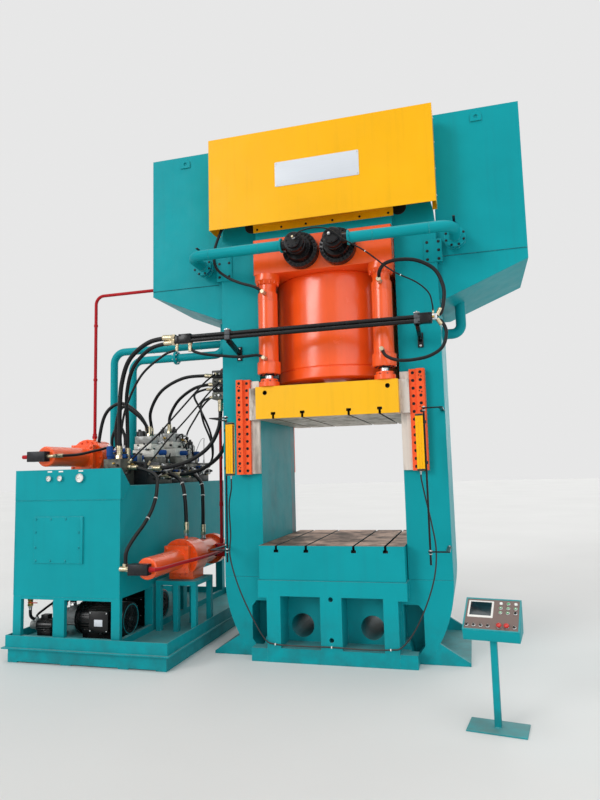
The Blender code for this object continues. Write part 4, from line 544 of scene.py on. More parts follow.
def workedMetal(name, code, stainCode, look):
    # bare worked metal: fine tool grain along one axis, grease and handling blotches that dull it
    material, tree, shader = newMaterial(name)
    coord = addNode(tree, "TexCoord", out="Object")
    stretched = addNode(tree, "Mapping", {"Vector": coord, "Scale": look["grain"]})
    grain = addNode(tree, "TexNoise", {"Vector": stretched, "Scale": 1.0, "Detail": 5.0, "Roughness": 0.6})
    tone = addNode(tree, "Mix", {0: grain, 6: linear(code, 0.86), 7: linear(code, 1.1)}, out=2, data_type="RGBA")
    drawn = addNode(tree, "Mapping", {"Vector": coord, "Scale": look["stainGrain"]})
    cloud = addNode(tree, "TexNoise", {"Vector": drawn, "Scale": 1.0, "Detail": 6.0, "Roughness": 0.62})
    stain = addNode(tree, "MapRange", {"Value": cloud, "From Min": look["stainFrom"],
        "From Max": look["stainFrom"] + 0.2, "To Max": look["stain"]})
    tone = addNode(tree, "Mix", {0: stain, 6: tone, 7: linear(stainCode)}, out=2, data_type="RGBA")
    metal = addNode(tree, "Math", {0: stain, 1: -0.5 * look["metal"], 2: look["metal"]}, operation="MULTIPLY_ADD")
    gloss = addNode(tree, "MapRange", {"Value": grain, "From Min": 0.3, "From Max": 0.7,
        "To Min": look["rough"] * 0.8, "To Max": look["rough"] * 1.25})
    gloss = addNode(tree, "Math", {0: stain, 1: 0.25, 2: gloss}, operation="MULTIPLY_ADD")
    rounded = addNode(tree, "Bevel", {"Radius": 0.002}, samples=4)
    relief = addNode(tree, "Bump", {"Height": grain, "Strength": 0.2, "Distance": look["relief"], "Normal": rounded})
    tree.links.new(tone, shader.inputs["Base Color"])
    tree.links.new(metal, shader.inputs["Metallic"])
    tree.links.new(gloss, shader.inputs["Roughness"])
    tree.links.new(relief, shader.inputs["Normal"])
    finishes[name] = material


smallFitting = {"grain": (40, 40, 40), "stainGrain": (12, 12, 12), "stainFrom": 0.55, "stain": 0.4, "metal": 1.0,
    "rough": 0.3, "relief": 0.0002}
castSkin = {"grain": (25, 25, 25), "stainGrain": (8, 8, 8), "stainFrom": 0.45, "stain": 0.6, "metal": 0.7,
    "rough": 0.48, "relief": 0.001}
# guide strips: pale, oily streaks
workedMetal("groundIron", "#D9D0C5", "#6B6157", {"grain": (60, 60, 4), "stainGrain": (9, 9, 1.6), "stainFrom": 0.48,
    "stain": 0.7, "metal": 0.35, "rough": 0.5, "relief": 0.0006})
# rams: bright, thin oil film
workedMetal("hardChrome", "#E2E3E4", "#7B7468", {"grain": (30, 30, 1.5), "stainGrain": (3, 3, 1), "stainFrom": 0.6,
    "stain": 0.15, "metal": 1.0, "rough": 0.13, "relief": 0.0001})
# bare plates: silky, pale
workedMetal("brushedAluminium", "#CDD1D6", "#9A9A98", {"grain": (4, 120, 240), "stainGrain": (2, 2, 2),
    "stainFrom": 0.7, "stain": 0.1, "metal": 0.25, "rough": 0.55, "relief": 0.0001})
workedMetal("platedSteel", "#C9CACA", "#77726A", smallFitting)   # zinc-plated fittings: soft shine
workedMetal("yellowZinc", "#CFC2A4", "#8A7548", smallFitting)   # yellow passivated hose ends: pale gold
# brass unions: warm, dulled
workedMetal("brass", "#C7A35A", "#6B5426", dict(smallFitting, stainFrom=0.5, stain=0.5, rough=0.32))
# oiled black oxide screws
workedMetal("blackenedSteel", "#26272A", "#2B2723", dict(smallFitting, stainGrain=(10, 10, 10), stainFrom=0.5,
    metal=0.7, rough=0.38))
workedMetal("castAluminium", "#A9ABA9", "#5E5B53", castSkin)   # valve bodies: dull, oily
# manifold steel: olive grey
workedMetal("nickelledBlock", "#62635B", "#2C2A25", dict(castSkin, grain=(20, 20, 20), stainGrain=(7, 7, 7),
    stain=0.7, metal=0.55, rough=0.45, relief=0.0008))
# painted valve bodies: off-white
workedMetal("whiteCast", "#DAD8CF", "#8A877C", dict(castSkin, stainFrom=0.5, metal=0.15, rough=0.5))


def mouldedSkin(name, code, rough, grain=900.0, tone=0.08, dust=0.25, shine=0.5):
    # moulded rubber or plastic: even colour, fine moulded grain, a film of dust on top faces
    material, tree, shader = newMaterial(name)
    shader.inputs["Specular IOR Level"].default_value = shine
    coord = addNode(tree, "TexCoord", out="Object")
    cloud = addNode(tree, "TexNoise", {"Vector": coord, "Scale": 9.0, "Detail": 4.0})
    shade = addNode(tree, "Mix", {0: cloud, 6: linear(code, 1 - tone), 7: linear(code, 1 + tone)}, out=2,
        data_type="RGBA")
    facing = addNode(tree, "SeparateXYZ", {0: addNode(tree, "NewGeometry", out="Normal")}, 2)
    film = addNode(tree, "MapRange", {"Value": facing, "From Min": 0.2, "From Max": 0.95, "To Max": dust})
    shade = addNode(tree, "Mix", {0: film, 6: shade, 7: linear("#8B8778")}, out=2, data_type="RGBA")
    gloss = addNode(tree, "MapRange", {"Value": cloud, "To Min": rough - 0.06, "To Max": rough + 0.1})
    fine = addNode(tree, "TexNoise", {"Vector": coord, "Scale": grain, "Detail": 1.0})
    relief = addNode(tree, "Bump", {"Height": fine, "Strength": 0.2, "Distance": 0.0003})
    tree.links.new(shade, shader.inputs["Base Color"])
    tree.links.new(gloss, shader.inputs["Roughness"])
    tree.links.new(relief, shader.inputs["Normal"])
    finishes[name] = material


mouldedSkin("hoseRubber", "#101113", 0.42, 700.0, 0.2, 0.08, 0.25)   # oily hydraulic hose cover: black, soft sheen
mouldedSkin("cableSheath", "#1E1F20", 0.5, tone=0.1, dust=0.18)   # PVC sheath: matt black
mouldedSkin("blackPlastic", "#151517", 0.4, dust=0.12)   # moulded polyamide knobs and caps
mouldedSkin("whitePlastic", "#E9E8E2", 0.45, dust=0.1)   # cable ties, lamp lenses and dials
mouldedSkin("greenPlastic", "#1F9A54", 0.32, dust=0.05)   # green button rings: glossy
mouldedSkin("redPlastic", "#C4211A", 0.3, dust=0.08)   # mushroom heads: glossy red
mouldedSkin("greyPlastic", "#43474B", 0.5)   # clamp halves: matt polypropylene
mouldedSkin("smokedWindow", "#2A1D1C", 0.12, dust=0.0)   # light curtain lens: dark red-brown acrylic, very glossy
mouldedSkin("darkScreen", "#15262B", 0.1, dust=0.0)   # touch panel, switched off: black glass
mouldedSkin("panelFilm", "#6E5A55", 0.5, tone=0.05, dust=0.1)   # printed polyester panel film: flat warm grey
print("finishes are made:", len(finishes))


nodeFinish = {
    "tealEnamel": ["lower_crosshead", "upright_right", "upper_crosshead", "oil_tank_left", "oil_tank_right",
        "unit_base", "unit_tank"],
    "tealEnamelGreasy": ["upright_left"],
    "orangeEnamel": ["head_block", "main_cylinder", "return_cylinder_left", "return_cylinder_right",
        "intensifier_lower", "intensifier_upper"],
    "bracketEnamel": ["guide_bracket_front_left", "guide_bracket_front_right", "guide_bracket_rear_left",
        "guide_bracket_rear_right"],
    "slideEnamel": ["slide"],
    "tableEnamel": ["bolster"],
    "rodFootEnamel": ["return_rod_left", "return_rod_right"],
    "yellowEnamel": ["top_cover", "light_curtain_left", "light_curtain_right"],
    "groundIron": ["guide_gib_front_left", "guide_gib_front_right"],
    "hardChrome": ["ram"],
    "blackEnamel": ["prefill_valve_left", "prefill_valve_right", "curtain_stand_left", "curtain_stand_right",
        "pump_motor_front", "pump_motor_rear"],
    "blueEnamel": ["butterfly_valve_left", "butterfly_valve_right"],
    "blackenedSteel": ["butterfly_lever_left", "butterfly_lever_right"],
}
# edge radii in metres; the rest have 2 mm
softEdge = {"slide": 0.003, "bolster": 0.004, "upright_left": 0.004, "upright_right": 0.004, "lower_crosshead": 0.003,
    "upper_crosshead": 0.004, "head_block": 0.006, "oil_tank_left": 0.004, "oil_tank_right": 0.004,
    "unit_tank": 0.004, "top_cover": 0.0012}


def dressNodes():
    for finish, names in nodeFinish.items():
        for name in names:
            node = nodes[name]
            node.data.materials.clear()
            node.data.materials.append(finishes[finish])
            weld = node.modifiers.new("weld", "WELD")
            weld.merge_threshold = 0.00004
            if "bracket_front" in name or "bracket_rear" in name:
                boltWells(node, name)
            bevel = node.modifiers.new("softEdges", "BEVEL")
            bevel.width = softEdge.get(name, 0.002)
            bevel.segments = 2
            bevel.limit_method = "ANGLE"
            bevel.angle_limit = math.radians(38)
            bevel.harden_normals = False
            node.modifiers.new("evenShading", "WEIGHTED_NORMAL").keep_sharp = False


bracketBolts = {"columns": ((0.924, -0.737), (1.004, -0.774)), "rows": 13, "low": 1.985, "high": 2.962, "well": 0.017,
    "deep": 0.016}
capScrew = template(spinShape([(0, 0), (1, 0), (1, 0.88), (0.9, 1), (0.6, 1, 6), (0.56, 0.4, 6), (0, 0.4)]))
hexBolt = template(spinShape([(0, 0), (1.25, 0), (1.25, 0.14), (1, 0.16, 6), (1, 0.85, 6), (0.82, 1), (0, 1)]))
hexNut = template(spinShape([(0, 0), (1.25, 0), (1.25, 0.12), (1, 0.14, 6), (1, 0.8, 6), (0.85, 0.9), (0.5, 0.9),
    (0.5, 1.15), (0, 1.15)]))


def boltWells(node, name):
    side = -1 if "left" in name else 1
    way = -1 if "front" in name else 1
    look = bracketBolts
    bm = bmesh.new()
    pitch = (look["high"] - look["low"]) / (look["rows"] - 1)
    for x, y in look["columns"]:
        face = way * abs(y)
        for row in range(look["rows"]):
            spot = Vector((side * x, face, look["low"] + pitch * row))
            mesh = template(spinShape(band(0, look["well"], -look["deep"], 0.01), 20))
            before = len(bm.verts)
            bm.from_mesh(mesh)
            bm.verts.ensure_lookup_table()
            for vert in bm.verts[before:]:
                vert.co = aim(spot, (0, way, 0)) @ vert.co
            bottom = spot - Vector((0, way * look["deep"], 0))
            stamp("blackenedSteel", capScrew, [aim(bottom, (0, way, 0), look["well"] * 0.93, 0.013)])
    for row in (0, 2, 4, 7, 9, 11):
        for dx, dz in ((-0.013, 0.048), (0.01, 0.036)):
            x, y = look["columns"][1]
            spot = Vector((side * x + dx, way * (abs(y) + 0.0005), look["low"] + pitch * row + dz))
            stamp("blackenedSteel", capScrew, [aim(spot, (0, way, 0), 0.0062, 0.003)])
    mesh = bpy.data.meshes.new(name + "_wells")
    bm.to_mesh(mesh)
    bm.free()
    cutter = bpy.data.objects.new(name + "_wells", mesh)
    cutter.hide_render = True
    cutter.display_type = "WIRE"
    scene.collection.objects.link(cutter)
    cutter.hide_set(True)
    wells = node.modifiers.new("wells", "BOOLEAN")
    wells.solver = "EXACT"
    wells.object = cutter
    finishPiece(name + "_screws")


dressNodes()
print("packed parts are dressed")


def hoseEnd(spot, direction, radius, nut=True):
    # crimped ferrule and swivel nut of a hydraulic hose, from the port outwards
    wide = radius * 1.55
    neck = radius * 1.25
    profile = [(0, 0), (neck, 0), (neck, radius * 0.4)]
    if nut:
        profile = [(0, 0), (wide, 0, 6), (wide, radius * 1.5, 6), (neck, radius * 1.7), (neck, radius * 2.0)]
    start = profile[-1][1]
    profile += [(radius * 1.34, start + radius * 0.1)]
    for k in range(4):
        z = start + radius * (0.2 + 0.85 * k)
        profile += [(radius * 1.34, z + radius * 0.5), (radius * 1.24, z + radius * 0.6),
            (radius * 1.24, z + radius * 0.75), (radius * 1.34, z + radius * 0.85)]
    end = start + radius * 3.8
    profile += [(radius * 1.3, end), (0, end)]
    addSpin("yellowZinc", profile, aim(spot, direction), 24)


def elbow(finish, spot, first, last, radius, reach):
    # forged 90 degree elbow: a short bent tube with a collar at each end
    a, b = Vector(first).normalized(), Vector(last).normalized()
    corner = Vector(spot) + a * reach
    addTube(finish, bentRoute([Vector(spot), corner, corner + b * reach], reach * 0.6, 8), radius, 16)
    tall = radius * 1.1
    for start, way in ((spot, a), (corner + b * (reach - tall), b)):
        addSpin(finish, [(0, 0), (radius * 1.35, 0, 6), (radius * 1.35, tall, 6), (0, tall)], aim(start, way), 24)


def ringSpots(centre, axis, radius, count, offset=0.0):
    # spots round a centre in the plane across an axis
    first = Vector(axis).orthogonal().normalized()
    second = Vector(axis).normalized().cross(first)
    return [Vector(centre) + (first * math.cos(a) + second * math.sin(a)) * radius
        for a in (math.radians(offset) + 2 * math.pi * k / count for k in range(count))]


def screwRing(finish, shape, centre, way, reach, count, wide, tall, offset=0.0):
    # screws in a ring round centre, with their heads along way
    spots = ringSpots(centre, [abs(part) for part in way], reach, count, offset)
    stamp(finish, shape, [aim(p, way, wide, tall) for p in spots])


def addHose(points, radius, step=0.025, count=16, first=0, last=0):
    # a hose with a crimped fitting at each port; first and last draw the fittings back along it
    route = smoothRoute(points, step)
    addTube("hoseRubber", route, radius, count)
    for end, after, back in ((route[0], route[1], first), (route[-1], route[-2], last)):
        way = (after - end).normalized()
        hoseEnd(end + way * back, way, radius)


front = -0.67   # front plates of the frame
frameSide = 1.2353   # outer sides of the uprights, with the gap of a bolted face
trayTop, tankFloor, tankTop = 0.2003, 0.7003, 1.8553   # the power unit's levels


prefillLook = {"x": 0.207, "z": 4.365, "flange": -0.9503, "body": -1.0203, "turret": -1.2103, "cap": -1.2553,
    "pipe": 0.057, "pipeY": -1.12, "portX": 1.43, "pipeEnd": -0.7666, "leverY": -0.7402, "leverZ": 4.5203}


def prefillDetail(look):
    for name, side in sides:
        x, z, portX, pipeY, leverY = side * look["x"], look["z"], side * look["portX"], look["pipeY"], look["leverY"]
        # flange with its ring of 24 screws, stepped body and a finned turret cap
        for key, reach, count, wide, tall, offset in (("flange", 0.176, 24, 0.0125, 0.016, 7.5),
                ("body", 0.118, 12, 0.009, 0.01, 0), ("cap", 0.064, 8, 0.008, 0.009, 0)):
            screwRing("blackenedSteel", capScrew, (x, look[key], z), toFront, reach, count, wide, tall, offset)
        addSpin("blackEnamel", [(0.1, 0), (0.106, 0.004), (0.106, 0.016), (0.1, 0.02)],
            aim((x, look["turret"] + 0.004, z), toBack), 32)
        addSpin("blackEnamel", [(0.1, 0), (0.109, 0.003), (0.109, 0.024), (0.1, 0.027)],
            aim((x, look["turret"] + 0.075, z), toBack), 32)
        addSpin("platedSteel", fitting(0.017, 0.022, 0.01, 0.026, 0.036),
            aim((x + 0.02 * (1 if side < 0 else -1), look["cap"], z + 0.012), toFront), 24)
        finishPiece("prefillValve" + name.title() + "Fittings")

        pipeEnd = look["pipeEnd"]
        route = bentRoute([(side * 0.357, pipeY, z), (portX, pipeY, z),
            (portX, pipeEnd - 0.002, z)], 0.15, 16)
        addTube("tealEnamel", route, look["pipe"], 32)
        addSpin("tealEnamel", flange(0.05, 0.078, 0.02),
            aim((side * 0.355, pipeY, z), (side, 0, 0)), 32)
        addSpin("tealEnamel", flange(0.05, 0.11, 0.024),
            aim((portX, pipeEnd - 0.024, z), toBack), 40)
        for along in (0.62, 1.19):   # weld beads where the pipe was made up from pieces
            addSpin("tealEnamel", [(0.054, -0.005), (0.059, -0.003), (0.0605, 0), (0.059, 0.003), (0.054, 0.005)],
                aim((side * along, pipeY, z), toRight), 32)
        addSpin("tealEnamel", [(0.054, -0.006), (0.06, -0.004), (0.062, 0), (0.06, 0.004), (0.054, 0.006)],
            aim((portX, pipeEnd - 0.03, z), toBack), 32)
        finishPiece("suctionPipe" + name.title(), ["prefill_pipe_" + name])

        spots = ringSpots((portX, pipeEnd - 0.024, z), toBack, 0.097, 8, 22.5)
        stamp("blackenedSteel", hexBolt, [aim(p, toFront, 0.0105, 0.012) for p in spots])
        for p in spots:   # studs run on through the wafer body to the tank flange
            addSpin("platedSteel", pin(0.0055, 0.12), aim(p, toBack), 10)
        stamp("platedSteel", hexNut, [aim(p + Vector((0, 0.1006, 0)), toBack, 0.0105, 0.012) for p in spots])
        addSpin("platedSteel", [(0, 0), (0.02, 0), (0.02, 0.006), (0.012, 0.006, 6), (0.012, 0.014, 6), (0, 0.014)],
            aim((portX, leverY, z - 0.088), downward), 24)
        finishPiece("butterflyBolts" + name.title())

        # lever with a notched quadrant grip
        pivot = Vector((portX, leverY, look["leverZ"]))
        addSpin("blackEnamel", [(0, 0), (0.019, 0), (0.019, 0.016), (0.016, 0.018), (0.008, 0.018), (0.008, 0.026),
            (0, 0.026)], Matrix.Translation(pivot), 24)
        addBlock("blackEnamel", (-0.013, -0.125, 0.004), (0.013, 0.005, 0.012), 0.001, Matrix.Translation(pivot))
        addBlock("blackPlastic", (-0.0135, -0.2, 0.0015), (0.0135, -0.11, 0.0145), 0.004, Matrix.Translation(pivot))
        finishPiece("butterflyLever" + name.title(), ["butterfly_lever_" + name], "lever_" + name)


prefillDetail(prefillLook)


returnLook = {"x": 0.641, "y": -0.77, "top": 4.1594, "foot": 2.8983}


def returnDetail(look):
    for name, side in sides:
        x, y = side * look["x"], look["y"]
        screwRing("orangeEnamel", hexBolt, (x, y, look["top"] - 0.078), downward, 0.1165, 12, 0.0145, 0.032, 15)
        addSpin("orangeEnamel", [(0.108, 0), (0.116, 0.004), (0.116, 0.012), (0.108, 0.016)],
            aim((x, y, 3.17), upward), 40)
        addSpin("orangeEnamel", [(0.108, 0), (0.1115, 0.003), (0.1115, 0.01), (0.108, 0.013)],
            aim((x, y, 3.86), upward), 40)
        screwRing("blackenedSteel", capScrew, (x, y, 3.0402), downward, 0.093, 8, 0.01, 0.009)
        addSpin("hoseRubber", [(0.046, 0), (0.062, 0), (0.06, 0.012), (0.05, 0.016), (0.046, 0.016)],
            aim((x, y, 3.0401), downward), 32)
        finishPiece("returnCylinder" + name.title() + "Fittings")
        # wide foot that bolts the rod to the slide
        addSpin("orangeEnamel", [(0.07, 0), (0.113, 0), (0.115, 0.002), (0.115, 0.052), (0.112, 0.055),
            (0.096, 0.056), (0.096, 0.082), (0.092, 0.0865), (0.063, 0.0865)], aim((x, y, look["foot"]), upward), 40)
        screwRing("blackenedSteel", capScrew, (x, y, look["foot"] + 0.055), upward, 0.105, 8, 0.008, 0.009, 22.5)
        finishPiece("rodFoot" + name.title(), body="slide_group")


returnDetail(returnLook)


railLook = {"y": -1.03, "z": 3.485, "radius": 0.0225, "pitch": 0.046, "left": -1.6, "right": 1.17, "bracketX": 1.02,
    "high": 3.935, "low": 3.2}


def railDetail(look):
    y, z = look["y"], look["z"]
    for drop, shift in ((0.0, 0.0), (look["pitch"], 0.012)):
        addSpin("blackEnamel", [(0, 0), (look["radius"], 0), (look["radius"], look["right"] - look["left"]),
            (0, look["right"] - look["left"])], aim((look["left"], y - shift, z - drop), toRight), 28)
        for x in (-0.52, 0.3):   # welded joints in the long pipes
            addSpin("blackEnamel", [(0.02, -0.006), (0.0245, -0.003), (0.0245, 0.003), (0.02, 0.006)],
                aim((x, y - shift, z - drop), toRight), 28)
    for x, way in ((look["left"], 1), (look["right"], -1)):
        a, b = sorted((x + way * 0.001, x + way * 0.15))
        addBlock("blackEnamel", (a, y - 0.042, z - look["pitch"] - 0.03), (b, y + 0.03, z + 0.03), 0.006)
        stamp("blackenedSteel", capScrew, [aim((x + way * dx, y - 0.042, z - 0.023 + dz), toFront, 0.008, 0.008)
            for dx in (0.02, 0.13) for dz in (-0.038, 0.038)])
    for side in (-1, 1):
        x = side * look["bracketX"]
        addBlock("greyPlastic", (x - 0.03, y - 0.045, z - look["pitch"] - 0.03), (x + 0.03, y + 0.033, z - 0.0245),
            0.006)
        addBlock("greyPlastic", (x - 0.03, y - 0.045, z - 0.0225), (x + 0.03, y + 0.033, z + 0.034), 0.006)
        addBlock("platedSteel", (x - 0.031, y - 0.046, z + 0.0335), (x + 0.031, y + 0.034, z + 0.04), 0.001)
        addBlock("blackEnamel", (x - 0.031, y - 0.046, z - look["pitch"] - 0.035),
            (x + 0.031, y + 0.034, z - look["pitch"] - 0.029), 0.001)
        stamp("platedSteel", hexBolt, [aim((x, y + dy, z + 0.04), upward, 0.009, 0.01) for dy in (-0.036, 0.026)])
        addPrism("blackEnamel", [(y - 0.02, z - 0.1), (front - 0.014, z - 0.19), (front - 0.014, z - 0.14),
            (y + 0.02, z - 0.05)], "X", x - 0.02, x + 0.02, 0.002)
        addBlock("blackEnamel", (x - 0.03, front - 0.016, z - 0.25), (x + 0.03, front - 0.0003, z - 0.09), 0.003)
        stamp("platedSteel", hexBolt, [aim((x, front - 0.016, z - 0.17 + dz), toFront, 0.01, 0.011) for dz in (-0.06,
            0.055)])
    finishPiece("pressureRails", ["front_rails"])

    # forged tee at the right end with two hoses to the right return cylinder
    portY = front - 0.1 - 0.11 - 0.0003
    x = look["right"] + 0.0003
    addBlock("platedSteel", (x, y - 0.03, z - 0.05), (x + 0.05, y + 0.02, z + 0.015), 0.006)
    addSpin("brass", fitting(0.014, 0.014, 0.01, 0.018), aim((x + 0.012, y - 0.03, z - 0.02), toFront), 24)
    start = x + 0.03
    upper = smoothRoute([(start, y, z - 0.005), (start + 0.05, y, z + 0.01), (1.285, y + 0.005, z + 0.11),
        (1.295, y + 0.01, z + 0.28), (1.22, y + 0.01, z + 0.47), (1.05, y + 0.005, z + 0.585), (0.86, y, z + 0.615),
        (0.72, y - 0.01, z + 0.585), (0.66, y - 0.005, z + 0.51), (0.641, portY - 0.05, look["high"]),
        (0.641, portY, look["high"])], 0.018)
    lower = smoothRoute([(start, y, z - 0.03), (start + 0.055, y, z - 0.06), (1.3, y, z - 0.17), (1.26, y, z - 0.32),
        (1.13, y, z - 0.405), (0.95, y, z - 0.435), (0.8, y, z - 0.425), (0.69, y + 0.02, z - 0.37),
        (0.641, portY - 0.05, look["low"]), (0.641, portY, look["low"])], 0.018)
    for route, r, k in ((upper, 0.019, 0), (lower, 0.017, 1)):
        addTube("hoseRubber", route, r, 18)
        way = (route[-2] - route[-1]).normalized()
        hoseEnd(route[-1] + way * 0.004, way, r)
        hoseEnd(Vector((x + 0.05, y, z - 0.005 - 0.032 * k)), (route[3] - route[1]).normalized(), r, nut=False)
    finishPiece("rightCylinderHoses", ["return_hoses_right"])

    high = look["high"]
    addHose([(-0.641, portY, high), (-0.641, portY - 0.04, high), (-0.74, portY - 0.05, high + 0.07),
        (-0.92, portY - 0.01, high + 0.145), (-1.08, portY + 0.01, high + 0.23), (-1.21, portY, high + 0.35),
        (-1.235, portY - 0.01, high + 0.51), (-1.19, portY, high + 0.69), (-1.12, portY + 0.02, high + 0.85),
        (-1.06, portY + 0.08, high + 0.94), (-1.02, front - 0.04, high + 0.96), (-1.02, front - 0.0003, high + 0.96)],
        0.016, 0.018, 18, 0.004, 0.004)
    finishPiece("leftUpperHose", ["return_hose_left_upper"])

    elbowZ = z - look["pitch"] - 0.03 - 0.0003
    low = look["low"]
    addHose([(-1.47, y - 0.006, elbowZ), (-1.47, y - 0.006, elbowZ - 0.03), (-1.44, y, elbowZ - 0.085),
        (-1.32, y + 0.005, elbowZ - 0.13), (-1.12, y + 0.03, elbowZ - 0.16), (-0.9, y + 0.05, elbowZ - 0.185),
        (-0.72, portY - 0.06, low + 0.035), (-0.641, portY - 0.045, low), (-0.641, portY, low)], 0.016, 0.018, 18,
        last=0.004)
    addSpin("brass", [(0, 0), (0.021, 0, 6), (0.021, 0.02, 6), (0, 0.02)],
        aim((-1.47, y - 0.006, elbowZ + 0.012), downward), 24)
    finishPiece("leftLowerHose", ["return_hose_left_lower"])

    # thin pilot hose from the left prefill valve to the right rail end
    cap, zc = -1.2556, 4.365
    line = smoothRoute([(-0.187, cap, zc + 0.01), (-0.187, cap - 0.03, zc + 0.01), (-0.1, cap - 0.05, zc + 0.06),
        (0.05, cap - 0.055, zc + 0.075), (0.2, cap - 0.05, zc + 0.04), (0.33, cap - 0.01, zc - 0.06),
        (0.55, front - 0.54, zc - 0.2), (0.8, y - 0.08, zc - 0.4), (1.03, y - 0.08, zc - 0.54),
        (1.15, y - 0.07, zc - 0.66), (1.18, y - 0.045, zc - 0.78), (1.182, y - 0.012, z + 0.04),
        (1.182, y - 0.012, z + 0.0153)], 0.02)
    addTube("hoseRubber", line, 0.0075, 12)
    hoseEnd(line[0] + Vector((0, -0.034, 0)), toFront, 0.008, nut=False)
    hoseEnd(line[-1], upward, 0.008)
    for k in (int(len(line) * 0.46), int(len(line) * 0.7)):
        addSpin("whitePlastic", band(0.007, 0.0095, -0.004, 0.004), aim(line[k], line[k + 1] - line[k]), 16)
    finishPiece("pilotHose", ["pilot_hose"])


railDetail(railLook)


curtainLook = {"x": 0.9974, "y": -1.07, "wide": 0.0747, "deep": 0.07, "low": 1.94, "high": 2.5, "rodX": 1.045}


def curtainDetail(look):
    for name, side in sides:
        x, y = side * look["x"], look["y"]
        inner = side * (look["x"] - look["wide"] / 2)
        addBlock("smokedWindow", (inner - side * 0.0002, y - 0.0175, look["low"] + 0.0305),
            (inner + side * 0.0035, y + 0.0175, look["high"] - 0.0305), 0.001)
        for dx in (-0.012, 0.012):   # the extruded front has two shallow ribs
            addBlock("yellowEnamel", (x + dx - 0.0035, y - look["deep"] / 2 - 0.0035, look["low"] + 0.022),
                (x + dx + 0.0035, y - look["deep"] / 2 + 0.001, look["high"] - 0.022), 0.001)
        for z, way in ((look["low"], 1), (look["high"], -1)):
            a, b = sorted((z - way * 0.0002, z + way * 0.022))
            addBlock("blackPlastic", (x - look["wide"] / 2 - 0.001, y - look["deep"] / 2 - 0.001, a),
                (x + look["wide"] / 2 + 0.001, y + look["deep"] / 2 + 0.001, b), 0.004)
        addSpin("platedSteel", fitting(0.011, 0.014, 0.008, 0.018, 0.034),
            aim((side * 0.99, y, look["low"]), downward), 24)
        for z in (1.16, 2.55):
            for dz in (-0.011, 0.012):
                stamp("platedSteel", hexNut, [aim((side * look["rodX"], y, z + dz), (0, 0, 1 if dz > 0 else -1),
                    0.017, 0.011)])
            stamp("platedSteel", hexBolt, [aim((side * 1.212, front - 0.02, z + 0.012), upward, 0.009, 0.008)])
        for z in (2.02, 2.42):   # clamps that hold the bar to its rod
            addBlock("blackEnamel", (min(side * 0.99, side * 1.062), y + 0.034, z - 0.015),
                (max(side * 0.99, side * 1.062), y + 0.046, z + 0.015), 0.002)
            addSpin("blackEnamel", band(0.0102, 0.018, -0.014, 0.014), aim((side * look["rodX"], y, z), upward), 24)
        finishPiece("lightCurtain" + name.title() + "Trim")

    y = look["y"]
    r = 0.006
    runY = -0.87 - r - 0.0025
    foot = look["low"] - 0.0003
    line = smoothRoute([(0.99, y, foot), (0.99, y, foot - 0.07), (1.015, y + 0.05, 1.7), (1.06, y + 0.12, 1.43),
        (1.09, y + 0.16, 1.18), (1.068, y + 0.16, 0.93), (0.988, y + 0.16, 0.67), (0.86, y + 0.16, 0.4),
        (0.715, y + 0.18, 0.215), (0.6, runY, 0.183), (0.33, runY, 0.172), (0.0, runY, 0.18), (-0.33, runY, 0.176),
        (-0.6, runY, 0.184), (-0.71, y + 0.18, 0.235), (-0.852, y + 0.16, 0.48), (-0.993, y + 0.16, 0.78),
        (-1.079, y + 0.16, 1.08), (-1.065, y + 0.15, 1.31), (-1.05, y + 0.08, 1.62), (-0.995, y + 0.01, 1.8),
        (-0.99, y, foot - 0.06), (-0.99, y, foot)], 0.03)
    addTube("cableSheath", line, r + 0.0015, 12)
    for x, z in ((0.6, 0.183), (0.0, 0.18), (-0.6, 0.184)):   # white saddles that hold the cable to the bed
        addBlock("whitePlastic", (x - 0.006, runY - 0.009, z - 0.01), (x + 0.006, -0.8702, z + 0.01), 0.002)
    finishPiece("curtainCable", ["curtain_cable"])


curtainDetail(curtainLook)


coverLook = {"face": -0.954, "plate": (0.003, 5.252, 0.946, 0.284),
    "rimX": (-0.752, -0.464, -0.176, 0.128, 0.432, 0.747), "rimZ": 4.722, "side": 1.2655,
    "sideZ": (4.85, 5.15, 5.45, 5.72), "plug": (0.85, 4.81)}


def coverDetail(look):
    out = look["face"]
    outline = roundedRect(*look["plate"], 0.012)
    addPrism("brushedAluminium", outline, "Y", out - 0.0005, out - 0.003, 0.0008)
    finishPiece("coverPlate")
    stamp("platedSteel", capScrew, [aim((x, out - 0.003, z), toFront, 0.008, 0.003) for x in (-0.452,
        0.458) for z in (5.128, 5.376)])
    stamp("blackenedSteel", hexBolt, [aim((x, -0.7665, look["rimZ"]), toFront, 0.011, 0.008) for x in look["rimX"]])
    for side in (-1, 1):
        stamp("platedSteel", hexBolt, [aim((side * look["side"], -0.75, z), (side, 0, 0), 0.009,
            0.006) for z in look["sideZ"]])
    finishPiece("coverScrews")
    # screws of the plates that tie the tanks to the frame
    for side, low, high in ((1, 4.15, 4.4), (-1, 4.19, 4.615)):
        stamp("blackenedSteel", hexBolt, [aim((side * x, -0.682, low + (high - low) * part), toFront, 0.013, 0.009)
            for x in (1.135, 1.255) for part in (0.12, 0.5, 0.88)])
    finishPiece("tieScrews")
    x, z = look["plug"]
    for side in (-1, 1):   # black rimmed discs in the two round crane holes of the frame, half behind the cover: painted shade standing for the dark holes
        addSpin("blackPlastic", [(0, 0), (0.084, 0), (0.084, 0.003), (0.08, 0.006), (0.068, 0.006), (0.066, 0.004),
            (0, 0.004)], aim((side * x, front - 0.0001, z), toFront), 48)
    finishPiece("craneHoleShade")
    for side, over in ((-1, 0.065), (1, 0.115)):   # weld across each tank's front, above the slope of its floor
        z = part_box("oil_tank_left")[0][2] + 0.35 + over
        # the bead's dark enamel is painted shade along the seam, with some dirt
        addTube("weldShadeAndDirt", [(side * 1.295, -0.606, z), (side * 2.152, -0.606, z)], 0.0055, 8)
    finishPiece("tankWelds")


coverDetail(coverLook)
print("press fittings are in")


